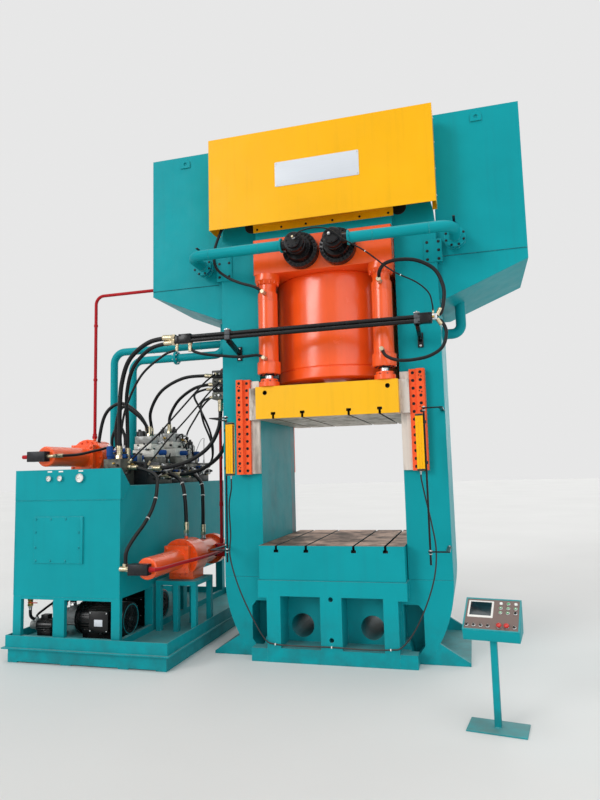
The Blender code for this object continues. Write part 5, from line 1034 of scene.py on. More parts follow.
unitLook = {"left": -3.45, "right": -2.14, "front": -1.35, "gaugeZ": 1.955,
    "gauges": ((-3.01, 0.03), (-2.87, 0.03), (-2.62, 0.046)), "hatch": (-3.2, -2.58, 1.045, 1.54)}
# valve stacks: left, right, near, far, top, and where the coil stands
stackLook = (
    (-2.52, -2.28, -0.42, -0.1, 2.44, (-2.46, -0.34)),
    (-2.56, -2.25, 0.1, 0.44, 2.5, (-2.46, 0.34)),
    (-2.5, -2.3, 0.64, 0.9, 2.36, (-2.4, 0.83)),
)
# hoses that only the valve gear has: points and radius; first the two loops on the header
loopHoses = (
    ([(-2.8, -0.46, 2.01), (-2.8, -0.46, 2.25), (-2.79, -0.46, 2.45), (-2.71, -0.45, 2.58), (-2.63, -0.45, 2.45),
        (-2.62, -0.46, 2.25), (-2.62, -0.46, 2.01)], 0.0185),
    ([(-2.71, -0.46, 2.01), (-2.71, -0.47, 2.22), (-2.72, -0.5, 2.55), (-2.62, -0.52, 2.8), (-2.45, -0.46, 2.7),
        (-2.36, -0.38, 2.55), (-2.34, -0.36, 2.43)], 0.0205),
)
# then the hoses down to the intensifiers
boosterHoses = (
    ([(-1.84, -0.385, 1.2703), (-1.84, -0.385, 1.4003), (-1.86, -0.37, 1.6503), (-1.92, -0.33, 1.8603),
        (-2.06, -0.29, 1.9553), (-2.17, -0.27, 1.9553), (-2.25, -0.27, 1.9553)], 0.022),
    ([(-1.84, 0.1, 1.2003), (-1.84, 0.1, 1.3403), (-1.85, 0.12, 1.6003), (-1.9, 0.2, 1.8303), (-2.04, 0.27, 1.9503),
        (-2.16, 0.3, 1.9503), (-2.25, 0.3, 1.9503)], 0.022),
    ([(-2.0103, -1.365, 1.0), (-2.05, -1.365, 1.0), (-2.065, -1.365, 1.08), (-2.055, -1.355, 1.19),
        (-2.01, -1.275, 1.32), (-1.98, -1.135, 1.44), (-1.97, -0.965, 1.6), (-1.98, -0.845, 1.8),
        (-2.06, -0.745, 1.97), (-2.32, -0.745, 2.06), (-2.41, -0.755, 2.06)], 0.02),
)


def gaugeDial(x, y, z, radius, turn):
    # pressure gauge: chromed bezel, white dial with scale marks and a black needle
    addSpin("platedSteel", [(radius * 0.86, 0), (radius * 1.04, 0), (radius * 1.06, 0.003), (radius * 1.02, 0.009),
        (radius * 0.92, 0.011), (radius * 0.86, 0.008)], aim((x, y, z), toFront), 40)
    addSpin("whitePlastic", band(0, radius * 0.88, 0.002, 0.0045), aim((x, y, z), toFront), 40)
    for k in range(11):
        angle = math.radians(225 - 27 * k)
        place = Matrix.Translation((x, y - 0.005, z)) @ Matrix.Rotation(-angle, 4, "Y")
        addBlock("blackPlastic", (radius * 0.62, -0.0004, -0.0008), (radius * 0.78, 0.0004, 0.0008), 0, place)
    place = Matrix.Translation((x, y - 0.006, z)) @ Matrix.Rotation(-math.radians(turn), 4, "Y")
    addBlock("blackPlastic", (-radius * 0.2, -0.0004, -0.0012), (radius * 0.7, 0.0004, 0.0012), 0, place)


def valveStation(place, size, blue):
    # directional valve on its plate: cast body, two coils with plugs, screws on top
    wide, deep, tall = size
    addBlock("castAluminium", (-wide / 2, -deep / 2, 0), (wide / 2, deep / 2, tall), 0.004, place)
    coil = "blueEnamel" if blue else "blackPlastic"
    for way in (-1, 1):
        addBlock(coil, (min(way * wide / 2, way * (wide / 2 + 0.055)), -deep * 0.42, tall * 0.15),
            (max(way * wide / 2, way * (wide / 2 + 0.055)), deep * 0.42, tall * 0.95), 0.006, place)
        addSpin("blackPlastic", knob(0.013, 0.01, 0.01, 0.013),
            place @ aim((way * (wide / 2 + 0.055), 0, tall * 0.55), (way, 0, 0)), 20)
        addBlock("blackPlastic", (way * (wide / 2 + 0.027) - 0.015, -0.014, tall * 0.95),
            (way * (wide / 2 + 0.027) + 0.015, 0.014, tall * 0.95 + 0.026), 0.003, place)
    stamp("blackenedSteel", capScrew, [place @ aim((sx * wide * 0.38, sy * deep * 0.36, tall), upward, 0.006, 0.006)
        for sx in (-1, 1) for sy in (-1, 1)])


def unitDetail(look):
    y = look["front"]
    for k, (x, r) in enumerate(look["gauges"]):
        gaugeDial(x, y - 0.022, look["gaugeZ"], r, (210, 160, 190)[k])
        addBlock("whitePlastic", (x - 0.028, y - 0.0055, 2.022), (x + 0.028, y - 0.0042, 2.037), 0.0004)
    finishPiece("unitGauges")

    # hatch frame with its screws and a folded grip strip
    left, right, low, high = look["hatch"]
    proud = y - 0.008
    spots = [(left + 0.03 + (right - left - 0.06) * k / 3, z) for k in range(4) for z in (low + 0.025, high - 0.025)]
    spots += [(x, low + (high - low) * k / 3) for k in (1, 2) for x in (left + 0.025, right - 0.055)]
    stamp("tealEnamel", hexBolt, [aim((x, proud, z), toFront, 0.01, 0.008) for x, z in spots])
    addBlock("tealEnamel", (right - 0.03, proud - 0.012, low), (right, proud + 0.002, high), 0.003)
    addBlock("tealEnamel", (look["left"] + 0.02, y - 0.003, 1.712), (look["right"] - 0.02, y + 0.001, 1.719), 0.001)
    for x in (look["left"] + 0.004, look["right"] - 0.004):   # vertical weld beads on the tank corners
        addBlock("tealEnamel", (x - 0.005, y - 0.003, 0.7), (x + 0.005, y + 0.004, 1.715), 0.002)
    finishPiece("unitHatch")

    # valve stations on the manifold
    valves = (
        (-2.4, -0.54, 2.12, 90, (0.1, 0.07, 0.09)),
        (-2.46, -0.26, 2.44, 0, (0.09, 0.075, 0.075)),
        (-2.41, 0.02, 2.12, 90, (0.11, 0.08, 0.1)),
        (-2.4, 0.27, 2.5, 0, (0.1, 0.08, 0.07)),
        (-2.4, 0.54, 2.12, 90, (0.11, 0.08, 0.1)),
        (-2.4, 0.77, 2.36, 0, (0.09, 0.08, 0.06)),
        (-2.41, 1.06, 2.12, 90, (0.12, 0.09, 0.11)),
        (-2.71, -0.46, 2.02, 0, (0.06, 0.05, 0.03)),
        (-2.51, -0.76, 2.16, 0, (0.08, 0.08, 0.06)),
    )
    for i, (x, yy, z, turn, size) in enumerate(valves):
        valveStation(Matrix.Translation((x, yy, z)) @ Matrix.Rotation(math.radians(turn), 4, "Z"), size, i % 2 == 0)
    quarter = math.radians(90)
    turned = Matrix.Rotation(quarter, 4, "Y") @ Matrix.Rotation(quarter, 4, "Z")
    for k, (yy, z) in enumerate(((-0.42, 2.03), (-0.24, 1.99), (-0.1, 2.05), (0.14, 2.0), (0.38, 2.04), (0.62, 1.98),
            (0.84, 2.05), (1.06, 2.0))):
        valveStation(Matrix.Translation((-2.24, yy, z)) @ turned, (0.07, 0.055, 0.07), k % 3 == 0)
    finishPiece("valveStations")

    # plugs, cartridge heads, fittings and gauge points scattered over the blocks
    faces = (
        ((-2.24, -0.6, 1.9), (-2.24, 1.18, 2.1), toRight, 26),
        ((-2.57, -0.62, 1.88), (-2.26, -0.62, 2.1), toFront, 8),
        ((-2.61, -0.92, 1.88), (-2.41, -0.92, 2.14), toFront, 9),
        ((-2.4, -0.9, 1.88), (-2.4, -0.64, 2.13), toRight, 7),
        ((-2.28, -0.4, 2.16), (-2.28, -0.12, 2.42), toRight, 7),
        ((-2.25, 0.12, 2.14), (-2.25, 0.42, 2.48), toRight, 9),
        ((-2.3, 0.66, 2.14), (-2.3, 0.88, 2.34), toRight, 6),
        ((-2.5, -0.42, 2.14), (-2.3, -0.42, 2.42), toFront, 8),
        ((-2.54, 0.1, 2.2), (-2.27, 0.1, 2.48), toFront, 9),
        ((-2.84, -0.52, 1.88), (-2.58, -0.52, 2.0), toFront, 6),
        ((-2.55, -0.6, 2.12), (-2.26, 1.18, 2.12), upward, 24),
    )
    for low, high, out, count in faces:
        for k in range(count):
            spot = [random.uniform(low[i], high[i]) for i in range(3)]
            kind = random.random()
            r = random.uniform(0.009, 0.019)
            if kind < 0.35:
                stamp("blackenedSteel", capScrew, [aim(spot, out, r * 0.8, r * 0.9)])
            elif kind < 0.6:
                stamp("platedSteel", hexBolt, [aim(spot, out, r, r * 1.3)])
            elif kind < 0.75:
                addSpin("brass", fitting(r, r, r * 0.6, r * 1.2, r * 2.4), aim(spot, out), 24)
            elif kind < 0.9:
                addSpin("blackPlastic", knob(r, r * 2.2, r * 0.8, r * 2.6), aim(spot, out), 20)
            else:
                addSpin("platedSteel", [(0, 0), (r * 1.3, 0, 6), (r * 1.3, r * 1.4, 6), (r, r * 1.6), (r, r * 3),
                    (r * 0.7, r * 3.3), (0, r * 3.3)], aim(spot, out), 24)
    finishPiece("valvePlugs")
    print("valve gear is in")

    # blocks of the manifold, side by side with fine joints, and the stacked valves on them
    low = tankTop
    for k, (near, far, lift) in enumerate(((-0.62, -0.302, 0.0), (-0.298, 0.058, -0.012), (0.062, 0.458, 0.0),
            (0.462, 0.838, -0.016), (0.842, 1.2, -0.004))):
        addBlock("nickelledBlock" if k % 2 else "blackenedSteel", (-2.58 + 0.004 * (k % 2), near, low),
            (-2.24 - 0.005 * (k % 2), far, 2.12 + lift), 0.004)
    addBlock("nickelledBlock", (-2.62, -0.92, low), (-2.4, -0.6, 2.16), 0.005)
    addBlock("castAluminium", (-2.85, -0.52, low), (-2.57, -0.4, 2.02), 0.004)
    for left, right, near, far, top, coil in stackLook:
        layers = ((0.0, 0.22, 0.03), (0.23, 0.5, 0.024), (0.51, 0.72, 0.0), (0.73, 1.0, -0.006))
        for k, (a, b, wider) in enumerate(layers):
            finish = ("nickelledBlock", "whiteCast", "whiteCast", "castAluminium")[k]
            addBlock(finish, (left - wider, near + 0.012 * (k % 2), 2.108 + (top - 2.108) * a),
                (right + wider, far - 0.012 * (k % 2), 2.108 + (top - 2.108) * b), 0.005)
        addBlock("nickelledBlock", (left + 0.012, near + 0.016, 2.11), (right - 0.012, far - 0.016, top - 0.004),
            0.002)
        addSpin("blackPlastic", [(0, -0.01), (0.045, -0.01), (0.045, 0.055), (0.038, 0.068), (0.014, 0.07),
            (0, 0.07)], Matrix.Translation((*coil, top)), 32)
        middle = (near + far) / 2
        addSpin("blueEnamel", [(0, -0.01), (0.034, -0.01), (0.034, 0.1), (0.028, 0.112), (0.012, 0.12), (0, 0.12)],
            aim((right, middle, 2.24), toRight), 28)
    for points, r in loopHoses:
        route = smoothRoute(points, 0.02)
        addTube("hoseRubber", route, r, 18)
        hoseEnd(route[0] + Vector((0, 0, 0.01)), upward, r)
        hoseEnd(route[-1] + Vector((0, 0, 0.01)), upward, r)
    for points, r in boosterHoses:
        route = smoothRoute(points, 0.025)
        addTube("hoseRubber", route, r + 0.0005, 20)
        hoseEnd(route[0] + (route[1] - route[0]).normalized() * 0.002, route[1] - route[0], r)
        hoseEnd(route[-1] + Vector((0.012, 0, 0)), toRight, r)
        for part in (0.42, 0.6):   # white ties
            k = int(len(route) * part)
            addSpin("whitePlastic", band(r, r + 0.003, -0.005, 0.005), aim(route[k], route[k + 1] - route[k]), 20)
    # cartridge valves with blue jackets
    jackets = (
        (-2.575, -0.865, 2.16, 0.15),
        (-2.6, -0.7, 2.16, 0.11),
        (-2.5, -0.665, 2.16, 0.13),
        (-2.66, -0.46, 2.02, 0.13),
        (-2.535, -0.52, 2.12, 0.16),
        (-2.33, -0.05, 2.12, 0.15),
        (-2.33, 0.52, 2.12, 0.17),
        (-2.48, 1.02, 2.12, 0.15),
    )
    for x, yy, z, tall in jackets:
        addSpin("blueEnamel", [(0, -0.002), (0.03, -0.002), (0.03, tall * 0.2), (0.037, tall * 0.22),
            (0.037, tall * 0.9), (0.03, tall), (0.014, tall), (0, tall)], Matrix.Translation((x, yy, z)), 28)
        addSpin("platedSteel", fitting(0.018, 0.016, 0.008, 0.02, 0.034), Matrix.Translation((x, yy, z + tall)), 18)
    finishPiece("valveBlocks", ["valve_manifold"])

    # small steel lines and black pilot cables that cross the blocks
    for k in range(13):
        y0 = -0.56 + 0.135 * k
        y1 = y0 + random.uniform(0.1, 0.34) * (1 if k % 3 else -1)
        y1 = max(-0.58, min(1.14, y1))
        reach = random.uniform(0.035, 0.085)
        z0, z1 = random.uniform(1.9, 2.08), random.uniform(1.9, 2.08)
        route = bentRoute([(-2.245, y0, z0), (-2.24 + reach, y0, z0), (-2.24 + reach, y1, z1), (-2.245, y1, z1)],
            0.02, 6)
        addTube("platedSteel", route, 0.0065, 12)
        for spot in (route[0], route[-1]):
            addSpin("platedSteel", fitting(0.013, 0.014, 0.009, 0.018), aim(spot + Vector((0.004, 0, 0)), toRight),
                18)
    for k in range(16):
        y0 = random.uniform(-0.5, 0.95)
        start = Vector((random.uniform(-2.52, -2.27), y0, 2.12))
        end = start + Vector((random.uniform(-0.12, 0.12), random.uniform(0.14, 0.4), 0))
        end.x, end.y = max(-2.55, min(-2.25, end.x)), min(1.16, end.y)
        high = random.uniform(0.16, 0.42)
        middle = (start + end) / 2 + Vector((random.uniform(0.0, 0.1), 0, high))
        lift, bow = Vector((0, 0, 0.05)), Vector((0, 0, high * 0.25))
        route = smoothRoute([start, start + lift, start.lerp(middle, 0.6) + bow, middle,
            end.lerp(middle, 0.6) + bow, end + lift, end], 0.02)
        addTube("hoseRubber" if k % 3 else "platedSteel", route, 0.01 if k % 3 else 0.006, 12)
        for spot in (start, end):
            addSpin("platedSteel", fitting(0.017, 0.016, 0.011, 0.02, 0.045), aim(spot, upward), 18)
    finishPiece("pilotLines")


# hoses from the hose block down to the valves: points and radius
blockHoses = (
    ([(-1.49, -0.3, 3.14), (-1.62, -0.3, 3.155), (-1.92, -0.3, 3.14), (-2.22, -0.28, 3.0), (-2.4, -0.22, 2.76),
        (-2.42, -0.16, 2.55), (-2.42, -0.16, 2.4403)], 0.02),
    ([(-1.49, -0.2, 3.05), (-1.62, -0.18, 3.06), (-1.88, -0.06, 3.04), (-2.16, 0.08, 2.92), (-2.32, 0.16, 2.74),
        (-2.34, 0.17, 2.6), (-2.34, 0.17, 2.5003)], 0.02),
    ([(-1.42, -0.3, 2.86), (-1.42, -0.3, 2.72), (-1.45, -0.3, 2.5), (-1.58, -0.31, 2.28), (-1.82, -0.35, 2.12),
        (-2.08, -0.45, 2.05), (-2.17, -0.52, 2.045), (-2.2397, -0.52, 2.045)], 0.024),
    ([(-1.35, -0.15, 2.86), (-1.35, -0.15, 2.7), (-1.39, -0.14, 2.45), (-1.52, -0.08, 2.2), (-1.76, -0.02, 2.04),
        (-2.0, 0.0, 1.97), (-2.14, 0.0, 1.96), (-2.2397, 0.0, 1.96)], 0.024),
    ([(-1.49, -0.12, 2.93), (-1.6, -0.1, 2.92), (-1.8, 0.06, 2.84), (-2.08, 0.38, 2.68), (-2.26, 0.6, 2.58),
        (-2.34, 0.69, 2.5), (-2.35, 0.7, 2.42), (-2.35, 0.7, 2.3603)], 0.012),
)
# thinner runs from the hose block to the back of the unit and to the front block
thinRuns = (
    ([(-1.5, -0.25, 2.895), (-1.58, -0.24, 2.89), (-1.8, -0.02, 2.84), (-1.96, 0.4, 2.66), (-2.02, 0.78, 2.42),
        (-2.08, 0.98, 2.2), (-2.15, 1.02, 2.06), (-2.24, 1.02, 2.05)], 0.014),
    ([(-1.5, -0.33, 2.98), (-1.6, -0.34, 2.98), (-1.8, -0.22, 2.93), (-1.9, 0.2, 2.78), (-1.92, 0.55, 2.5),
        (-1.98, 0.76, 2.22), (-2.1, 0.84, 2.06), (-2.24, 0.84, 2.04)], 0.014),
    ([(-1.43, -0.37, 3.155), (-1.43, -0.42, 3.15), (-1.56, -0.5, 3.02), (-1.82, -0.58, 2.72), (-2.06, -0.66, 2.44),
        (-2.26, -0.72, 2.25), (-2.4, -0.75, 2.115)], 0.0105),
    ([(-1.37, -0.37, 3.065), (-1.37, -0.41, 3.06), (-1.5, -0.46, 2.92), (-1.76, -0.52, 2.62), (-2.0, -0.57, 2.36),
        (-2.13, -0.59, 2.2), (-2.24, -0.585, 2.09)], 0.0095),
    ([(-1.628, -1.035, 3.412), (-1.632, -1.035, 3.35), (-1.8, -1.02, 3.3), (-2.1, -0.98, 3.1), (-2.34, -0.9, 2.76),
        (-2.47, -0.8, 2.44), (-2.495, -0.74, 2.27), (-2.495, -0.74, 2.16)], 0.0135),
    ([(-3.02, -0.42, tankTop), (-3.02, -0.42, 2.02), (-3.0, -0.43, 2.4), (-2.9, -0.44, 2.74), (-2.7, -0.42, 2.86),
        (-2.5, -0.38, 2.74), (-2.42, -0.3, 2.58), (-2.41, -0.24, 2.44)], 0.021),
)


def manifoldHoses():
    addBlock("blackenedSteel", (-1.49, -0.36, 2.86), (-frameSide, -0.08, 3.19), 0.004)
    for low, high, finish, inset in ((2.85, 2.935, "nickelledBlock", 0.0), (2.945, 3.02, "blackEnamel", 0.004),
            (3.03, 3.1, "nickelledBlock", 0.002), (3.11, 3.2, "blackEnamel", 0.0)):
        addBlock(finish, (-1.5 + inset, -0.37 + inset, low), (-frameSide, -0.07 - inset, high), 0.004)
    for points, r in blockHoses:
        addHose(points, r, count=18, first=0.012)
    for x in (-1.46, -1.4, -1.33, -1.27):
        for z in (2.893, 2.982, 3.065, 3.155):
            if random.random() < 0.4:
                addSpin("platedSteel", fitting(0.019, 0.016, 0.013, 0.02, 0.04), aim((x, -0.368, z), toFront), 18)
            else:
                stamp("platedSteel" if random.random() < 0.5 else "blackenedSteel", capScrew,
                    [aim((x, -0.37, z), toFront, 0.01, 0.009)])
    finishPiece("hoseManifold", ["hose_manifold"])

    for points, r in thinRuns:
        addHose(points, r)
    finishPiece("thinRuns")

    # supply hoses from the unit to the left ends of the rails
    y, z = railLook["y"], railLook["z"]
    end = railLook["left"] - 0.0003
    addBlock("blackEnamel", (end - 0.05, y - 0.03, z - 0.075), (end, y + 0.02, z + 0.015), 0.005)
    runs = (
        ([(end - 0.03, y, z), (end - 0.12, y, z + 0.005), (-2.0, y + 0.03, z - 0.02), (-2.28, y + 0.1, z - 0.18),
            (-2.42, y + 0.16, z - 0.45), (-2.47, y + 0.2, 2.7), (-2.48, y + 0.21, 2.4),
            (-2.48, y + 0.21, 2.1603)], 0.026),
        ([(end - 0.03, y - 0.008, z - 0.05), (end - 0.12, y - 0.01, z - 0.055), (-1.98, y + 0.02, z - 0.1),
            (-2.24, y + 0.11, z - 0.28), (-2.38, y + 0.21, z - 0.55), (-2.43, y + 0.3, 2.66),
            (-2.44, y + 0.33, 2.4), (-2.44, y + 0.33, 2.1603)], 0.022),
    )
    for points, r in runs:
        addHose(points, r, 0.03, 20, 0.02)
    finishPiece("supplyHoses", ["rail_hoses"])


# name, corner points, bend radius, pipe radius, the part it stands for
pipeRuns = (
    ("transferUpper", [(-frameSide, 0.23, 3.65), (-3.2, 0.23, 3.65),
        (-3.2, 0.23, tankTop)], 0.16, 0.05, ["transfer_pipe_upper"]),
    ("transferLower", [(-1.45, -0.07, 3.9), (-1.45, -0.07, 3.45), (-2.74, -0.07, 3.45),
        (-2.74, -0.07, tankTop)], 0.14, 0.05, ["transfer_pipe_lower"]),
    ("drain", [(1.44, -0.07, 3.88), (1.44, -0.07, 3.48), (frameSide, -0.07, 3.48)], 0.1, 0.057, ["drain_pipe_right"]),
)


def pipeworkDetail():
    # teal pipes between the tanks, the frame and the unit, with weld beads and bolted flanges
    for name, points, bend, r, replaced in pipeRuns:
        addTube("tealEnamel", bentRoute(points, bend, 14), r, 32)
        for spot, way in ((points[0], Vector(points[1]) - Vector(points[0])),
                (points[-1], Vector(points[-2]) - Vector(points[-1]))):
            if spot[2] < 3.8:
                addSpin("tealEnamel", [(0, 0), (r + 0.032, 0), (r + 0.035, 0.003), (r + 0.035, 0.017),
                    (r + 0.032, 0.02), (r, 0.021), (r, 0.03), (0, 0.03)], aim(spot, way), 36)
                away = way.normalized()
                spots = ringSpots(Vector(spot) + away * 0.02, away, r + 0.02, 8, 22.5)
                stamp("platedSteel", hexBolt, [aim(p, away, 0.009, 0.01) for p in spots])
        if name == "transferLower":   # the bolted joint in the level run
            for x, way in ((-2.13, -1), (-2.09, 1)):
                addSpin("tealEnamel", [(r - 0.004, 0), (r + 0.035, 0), (r + 0.035, 0.017), (r + 0.032, 0.0195),
                    (r - 0.004, 0.0195)], aim((-2.11, -0.07, 3.45), (way, 0, 0)), 36)
            screwRing("platedSteel", hexBolt, (-2.0905, -0.07, 3.45), toRight, r + 0.02, 8, 0.01, 0.011, 22.5)
            screwRing("platedSteel", hexNut, (-2.1295, -0.07, 3.45), toLeft, r + 0.02, 8, 0.01, 0.011, 22.5)
        if name == "transferUpper":
            for x in (-1.9, -2.6):
                addSpin("tealEnamel", [(r - 0.003, -0.006), (r + 0.002, -0.004), (r + 0.0035, 0), (r + 0.002, 0.004),
                    (r - 0.003, 0.006)], aim((x, 0.23, 3.65), toRight), 32)
        finishPiece(name + "Pipe", replaced)


boosterLook = {"nose": -1.33, "body": 0.78, "lower": (-1.84, 1.0), "upper": (-3.09, 2.2), "pipe": 0.0198,
    "riserTop": 3.32, "overhead": 4.27, "tankSide": -2.1563}
blindHole = [(0, -0.002), (0.009, -0.002), (0.009, 0.0008), (0.007, 0.0008), (0.007, -0.001), (0, -0.001)]


def boosterDetail(look):
    nose = look["nose"]
    for name in ("lower", "upper"):
        x, z = look[name]
        # dark end block with two rows of plugged holes
        addBlock("blackenedSteel", (x - 0.171, nose - 0.091, z - 0.056), (x + 0.056, nose + 0.019, z + 0.056), 0.003)
        for k in range(5):
            for dz in (-0.034, 0.034):
                along = x - 0.145 + 0.045 * k
                addSpin("blackPlastic", blindHole, aim((along, nose - 0.091, z + dz), toFront), 20)
                addSpin("blackPlastic", blindHole, aim((along, nose - 0.036 + dz * 0.9, z + 0.056), upward), 20)
        body = nose + look["body"]
        screwRing("orangeEnamel", capScrew, (x, body, z), toFront, 0.192, 16, 0.012, 0.014)
        stamp("orangeEnamel", hexNut, [aim((x + sx * 0.12, nose + 0.68, z + sz * 0.12), toFront, 0.016,
            0.016) for sx in (-1, 1) for sz in (-1, 1)])
        addSpin("redEnamel" if name == "upper" else "platedSteel", fitting(0.034, 0.03, 0.026, 0.034, 0.06),
            aim((x, body + 0.165, z + 0.238), upward), 24)
        if name == "lower":
            pipe = smoothRoute([(x + 0.05, nose - 0.035, z), (x + 0.11, nose - 0.035, z), (x + 0.15, nose + 0.06, z),
                (x + 0.19, nose + 0.35, z + 0.005), (x + 0.26, nose + 0.75, z + 0.01),
                (x + 0.27, nose + 1.2, z + 0.01), (x + 0.25, nose + 1.55, z + 0.01),
                (x + 0.14, nose + 1.72, z + 0.005), (x + 0.08, nose + 1.72, z)], 0.03)
            addTube("redEnamel", pipe, 0.0195, 18)
            riserX, riserY, riserZ = x + 0.2, nose + 1.55, look["riserTop"]
            addTube("redEnamel", bentRoute([(riserX, riserY, z + 0.02), (riserX, riserY, riserZ),
                (-frameSide, riserY, riserZ)], 0.09, 10), look["pipe"], 20)
            addBlock("redEnamel", (x + 0.131, riserY - 0.0665, z - 0.0715), (x + 0.3015, riserY + 0.0665, z + 0.0815),
                0.006)
            for h in (z + 0.1, z + 0.55, z + 1.15, z + 1.75):   # unions and clips along the riser
                addSpin("redEnamel", fitting(0.028, 0.03, 0.024, 0.036, 0.06), aim((riserX, riserY, h), upward), 24)
            addSpin("redEnamel", knob(0.042, 0.0155, 0.026, 0.02), aim((-frameSide, riserY, riserZ), toLeft), 28)
            stamp("blackenedSteel", capScrew, [aim((x + 0.3015, riserY + sy * 0.045, z + 0.005 + sz * 0.055), toRight,
                0.01, 0.01) for sy in (-1, 1) for sz in (-1, 1)])
            stamp("blackenedSteel", capScrew, [aim((x + 0.216 + sx * 0.06, riserY - 0.0665, z + 0.005 + sz * 0.055),
                toFront, 0.01, 0.01) for sx in (-1, 1) for sz in (-1, 1)])
            addSpin("platedSteel", fitting(0.036, 0.03, 0.026, 0.034, 0.06),
                aim((x, 0.1, z + 0.138), upward), 24)
            elbow("yellowZinc", (x - 0.171, nose - 0.035, z), toLeft, upward, 0.0235, 0.055)
            addSpin("redEnamel", [(0, 0), (0.03, 0), (0.03, 0.012), (0.026, 0.016, 6), (0.026, 0.04, 6),
                (0.021, 0.046), (0.021, 0.07), (0, 0.07)], aim((x + 0.056, nose - 0.035, z), toRight), 24)
            screwRing("orangeEnamel", capScrew, (x, body + 0.88, z), toFront, 0.168, 12, 0.011, 0.012)
        else:
            top, portY, high, tank = z + 0.22, body + 0.165, look["overhead"], look["tankSide"]
            route = bentRoute([(x, portY, top + 0.04), (x, portY, high), (tank, portY, high)], 0.11, 10)
            addTube("redEnamel", route, look["pipe"], 20)
            addSpin("redEnamel", knob(0.042, 0.0155, 0.026, 0.02), aim((tank, portY, high), toLeft), 28)
            for h in (0.75, 1.45):
                addSpin("redEnamel", pin(0.025, 0.03), aim((x, portY, top + h), upward), 24)
            addSpin("redEnamel", knob(0.028, 0.012, 0.022, 0.02, 0.09),
                aim((x - 0.171, nose - 0.036, z), toLeft), 24)
            elbow("yellowZinc", (x + 0.056, nose - 0.036, z), toRight, (0.25, 1, 0.1), 0.016, 0.05)
            line = smoothRoute([(x + 0.12, nose + 0.01, z + 0.004), (x + 0.14, nose + 0.09, z + 0.008),
                (x + 0.24, nose + 0.26, z + 0.02), (x + 0.36, nose + 0.46, z + 0.07),
                (x + 0.46, nose + 0.62, z + 0.1), (x + 0.54, nose + 0.72, z - 0.01),
                (x + 0.57, nose + 0.75, z - 0.06)], 0.03)
            addTube("hoseRubber", line, 0.016, 16)
            hoseEnd(line[0] + Vector((0.002, 0.012, 0)), (0.2, 1, 0.05), 0.016)
        finishPiece("intensifier" + name.title() + "Fittings")


motorLook = {"axes": (("Front", -1.03), ("Rear", -0.3)), "right": -2.2, "long": 0.56, "z": 0.42, "radius": 0.16,
    "ribs": 30, "spokes": 12}


def motorDetail(look):
    right, z, r = look["right"], look["z"], look["radius"]
    left = right - look["long"]
    for name, y in look["axes"]:
        for k in range(look["ribs"]):   # cooling ribs along the barrel
            place = Matrix.Translation((0, y, z)) @ Matrix.Rotation(2 * math.pi * k / look["ribs"], 4, "X")
            addBlock("blackEnamel", (left + 0.05, -0.0025, r - 0.004), (right - 0.13, 0.0025, r + 0.014), 0.001,
                place)
        # fan cover with a ring and spoke grille
        addSpin("blackEnamel", [(0.15, 0), (r + 0.016, 0), (r + 0.018, 0.004), (r + 0.018, 0.12), (r + 0.006, 0.128),
            (r - 0.002, 0.128)], aim((right - 0.12, y, z), toRight), 40)
        for ring in (0.045, 0.085, 0.125, 0.152):
            addSpin("tealEnamel" if ring > 0.15 else "blackEnamel", band(ring - 0.003, ring + 0.003, 0, 0.005),
                aim((right + 0.004, y, z), toRight), 40)
        for k in range(look["spokes"]):
            place = Matrix.Translation((right + 0.004, y, z)) @ Matrix.Rotation(2 * math.pi * k / look["spokes"], 4,
                "X")
            addBlock("blackEnamel", (0, -0.003, 0.02), (0.004, 0.003, 0.156), 0.0005, place)
        addSpin("blackPlastic", [(0, 0), (0.03, 0), (0.026, 0.006), (0, 0.006)], aim((right + 0.004, y, z), toRight),
            24)
        # terminal box lid with corner screws and a bare plate
        face = y - r - 0.055
        addPrism("blackEnamel", roundedRect(left + 0.31, z + 0.005, 0.232, 0.222, 0.014), "Y", face - 0.014,
            face + 0.002, 0.003)
        stamp("platedSteel", capScrew, [aim((left + 0.31 + sx * 0.098, face - 0.014, z + 0.005 + sz * 0.093), toFront,
            0.007, 0.004) for sx in (-1, 1) for sz in (-1, 1)])
        addPrism("brushedAluminium", roundedRect(left + 0.31, z - 0.005, 0.1, 0.07, 0.005), "Y", face - 0.0155,
            face - 0.0135, 0.0004)
        addSpin("blackPlastic", fitting(0.018, 0.014, 0.013, 0.018, 0.032),
            aim((left + 0.31, y - r - 0.02, z - 0.1), downward), 24)
        # pump: bell housing bolts, cast body, ports
        screwRing("platedSteel", hexBolt, (left - 0.02, y, z), toLeft, 0.155, 8, 0.011, 0.012, 22.5)
        addSpin("greyEnamel", [(0, 0), (0.098, 0), (0.098, 0.03), (0.088, 0.034), (0.088, 0.2), (0.072, 0.224),
            (0.0, 0.224)], aim((left - 0.037, y, z), toLeft), 36)
        for angle in range(0, 360, 45):
            place = Matrix.Translation((left - 0.14, y, z)) @ Matrix.Rotation(math.radians(angle), 4, "X")
            addBlock("greyEnamel", (-0.09, -0.006, 0.083), (0.085, 0.006, 0.096), 0.002, place)
        addSpin("greyEnamel", knob(0.052, 0.03, 0.04, 0.034, 0.05), aim((left - 0.15, y, z + 0.07), upward), 28)
        addTube("hoseRubber", smoothRoute([(left - 0.15, y, z + 0.1), (left - 0.15, y, z + 0.16),
            (left - 0.12, y + 0.03, z + 0.22), (left - 0.12, y + 0.06, z + 0.26), (left - 0.12, y + 0.06, z + 0.269)],
            0.03), 0.028, 18)
        addSpin("platedSteel", fitting(0.036, 0.026, 0.03, 0.03, 0.045), aim((left - 0.15, y, z + 0.115), upward), 24)
        finishPiece("pumpMotor" + name)


filterLook = {"filter": (-3.17, -0.92), "pumps": ((-3.3, -1.13), (-3.24, -0.55)), "pumpZ": 0.34, "ribs": 18,
    "drain": (-3.33, -1.22, 0.56)}
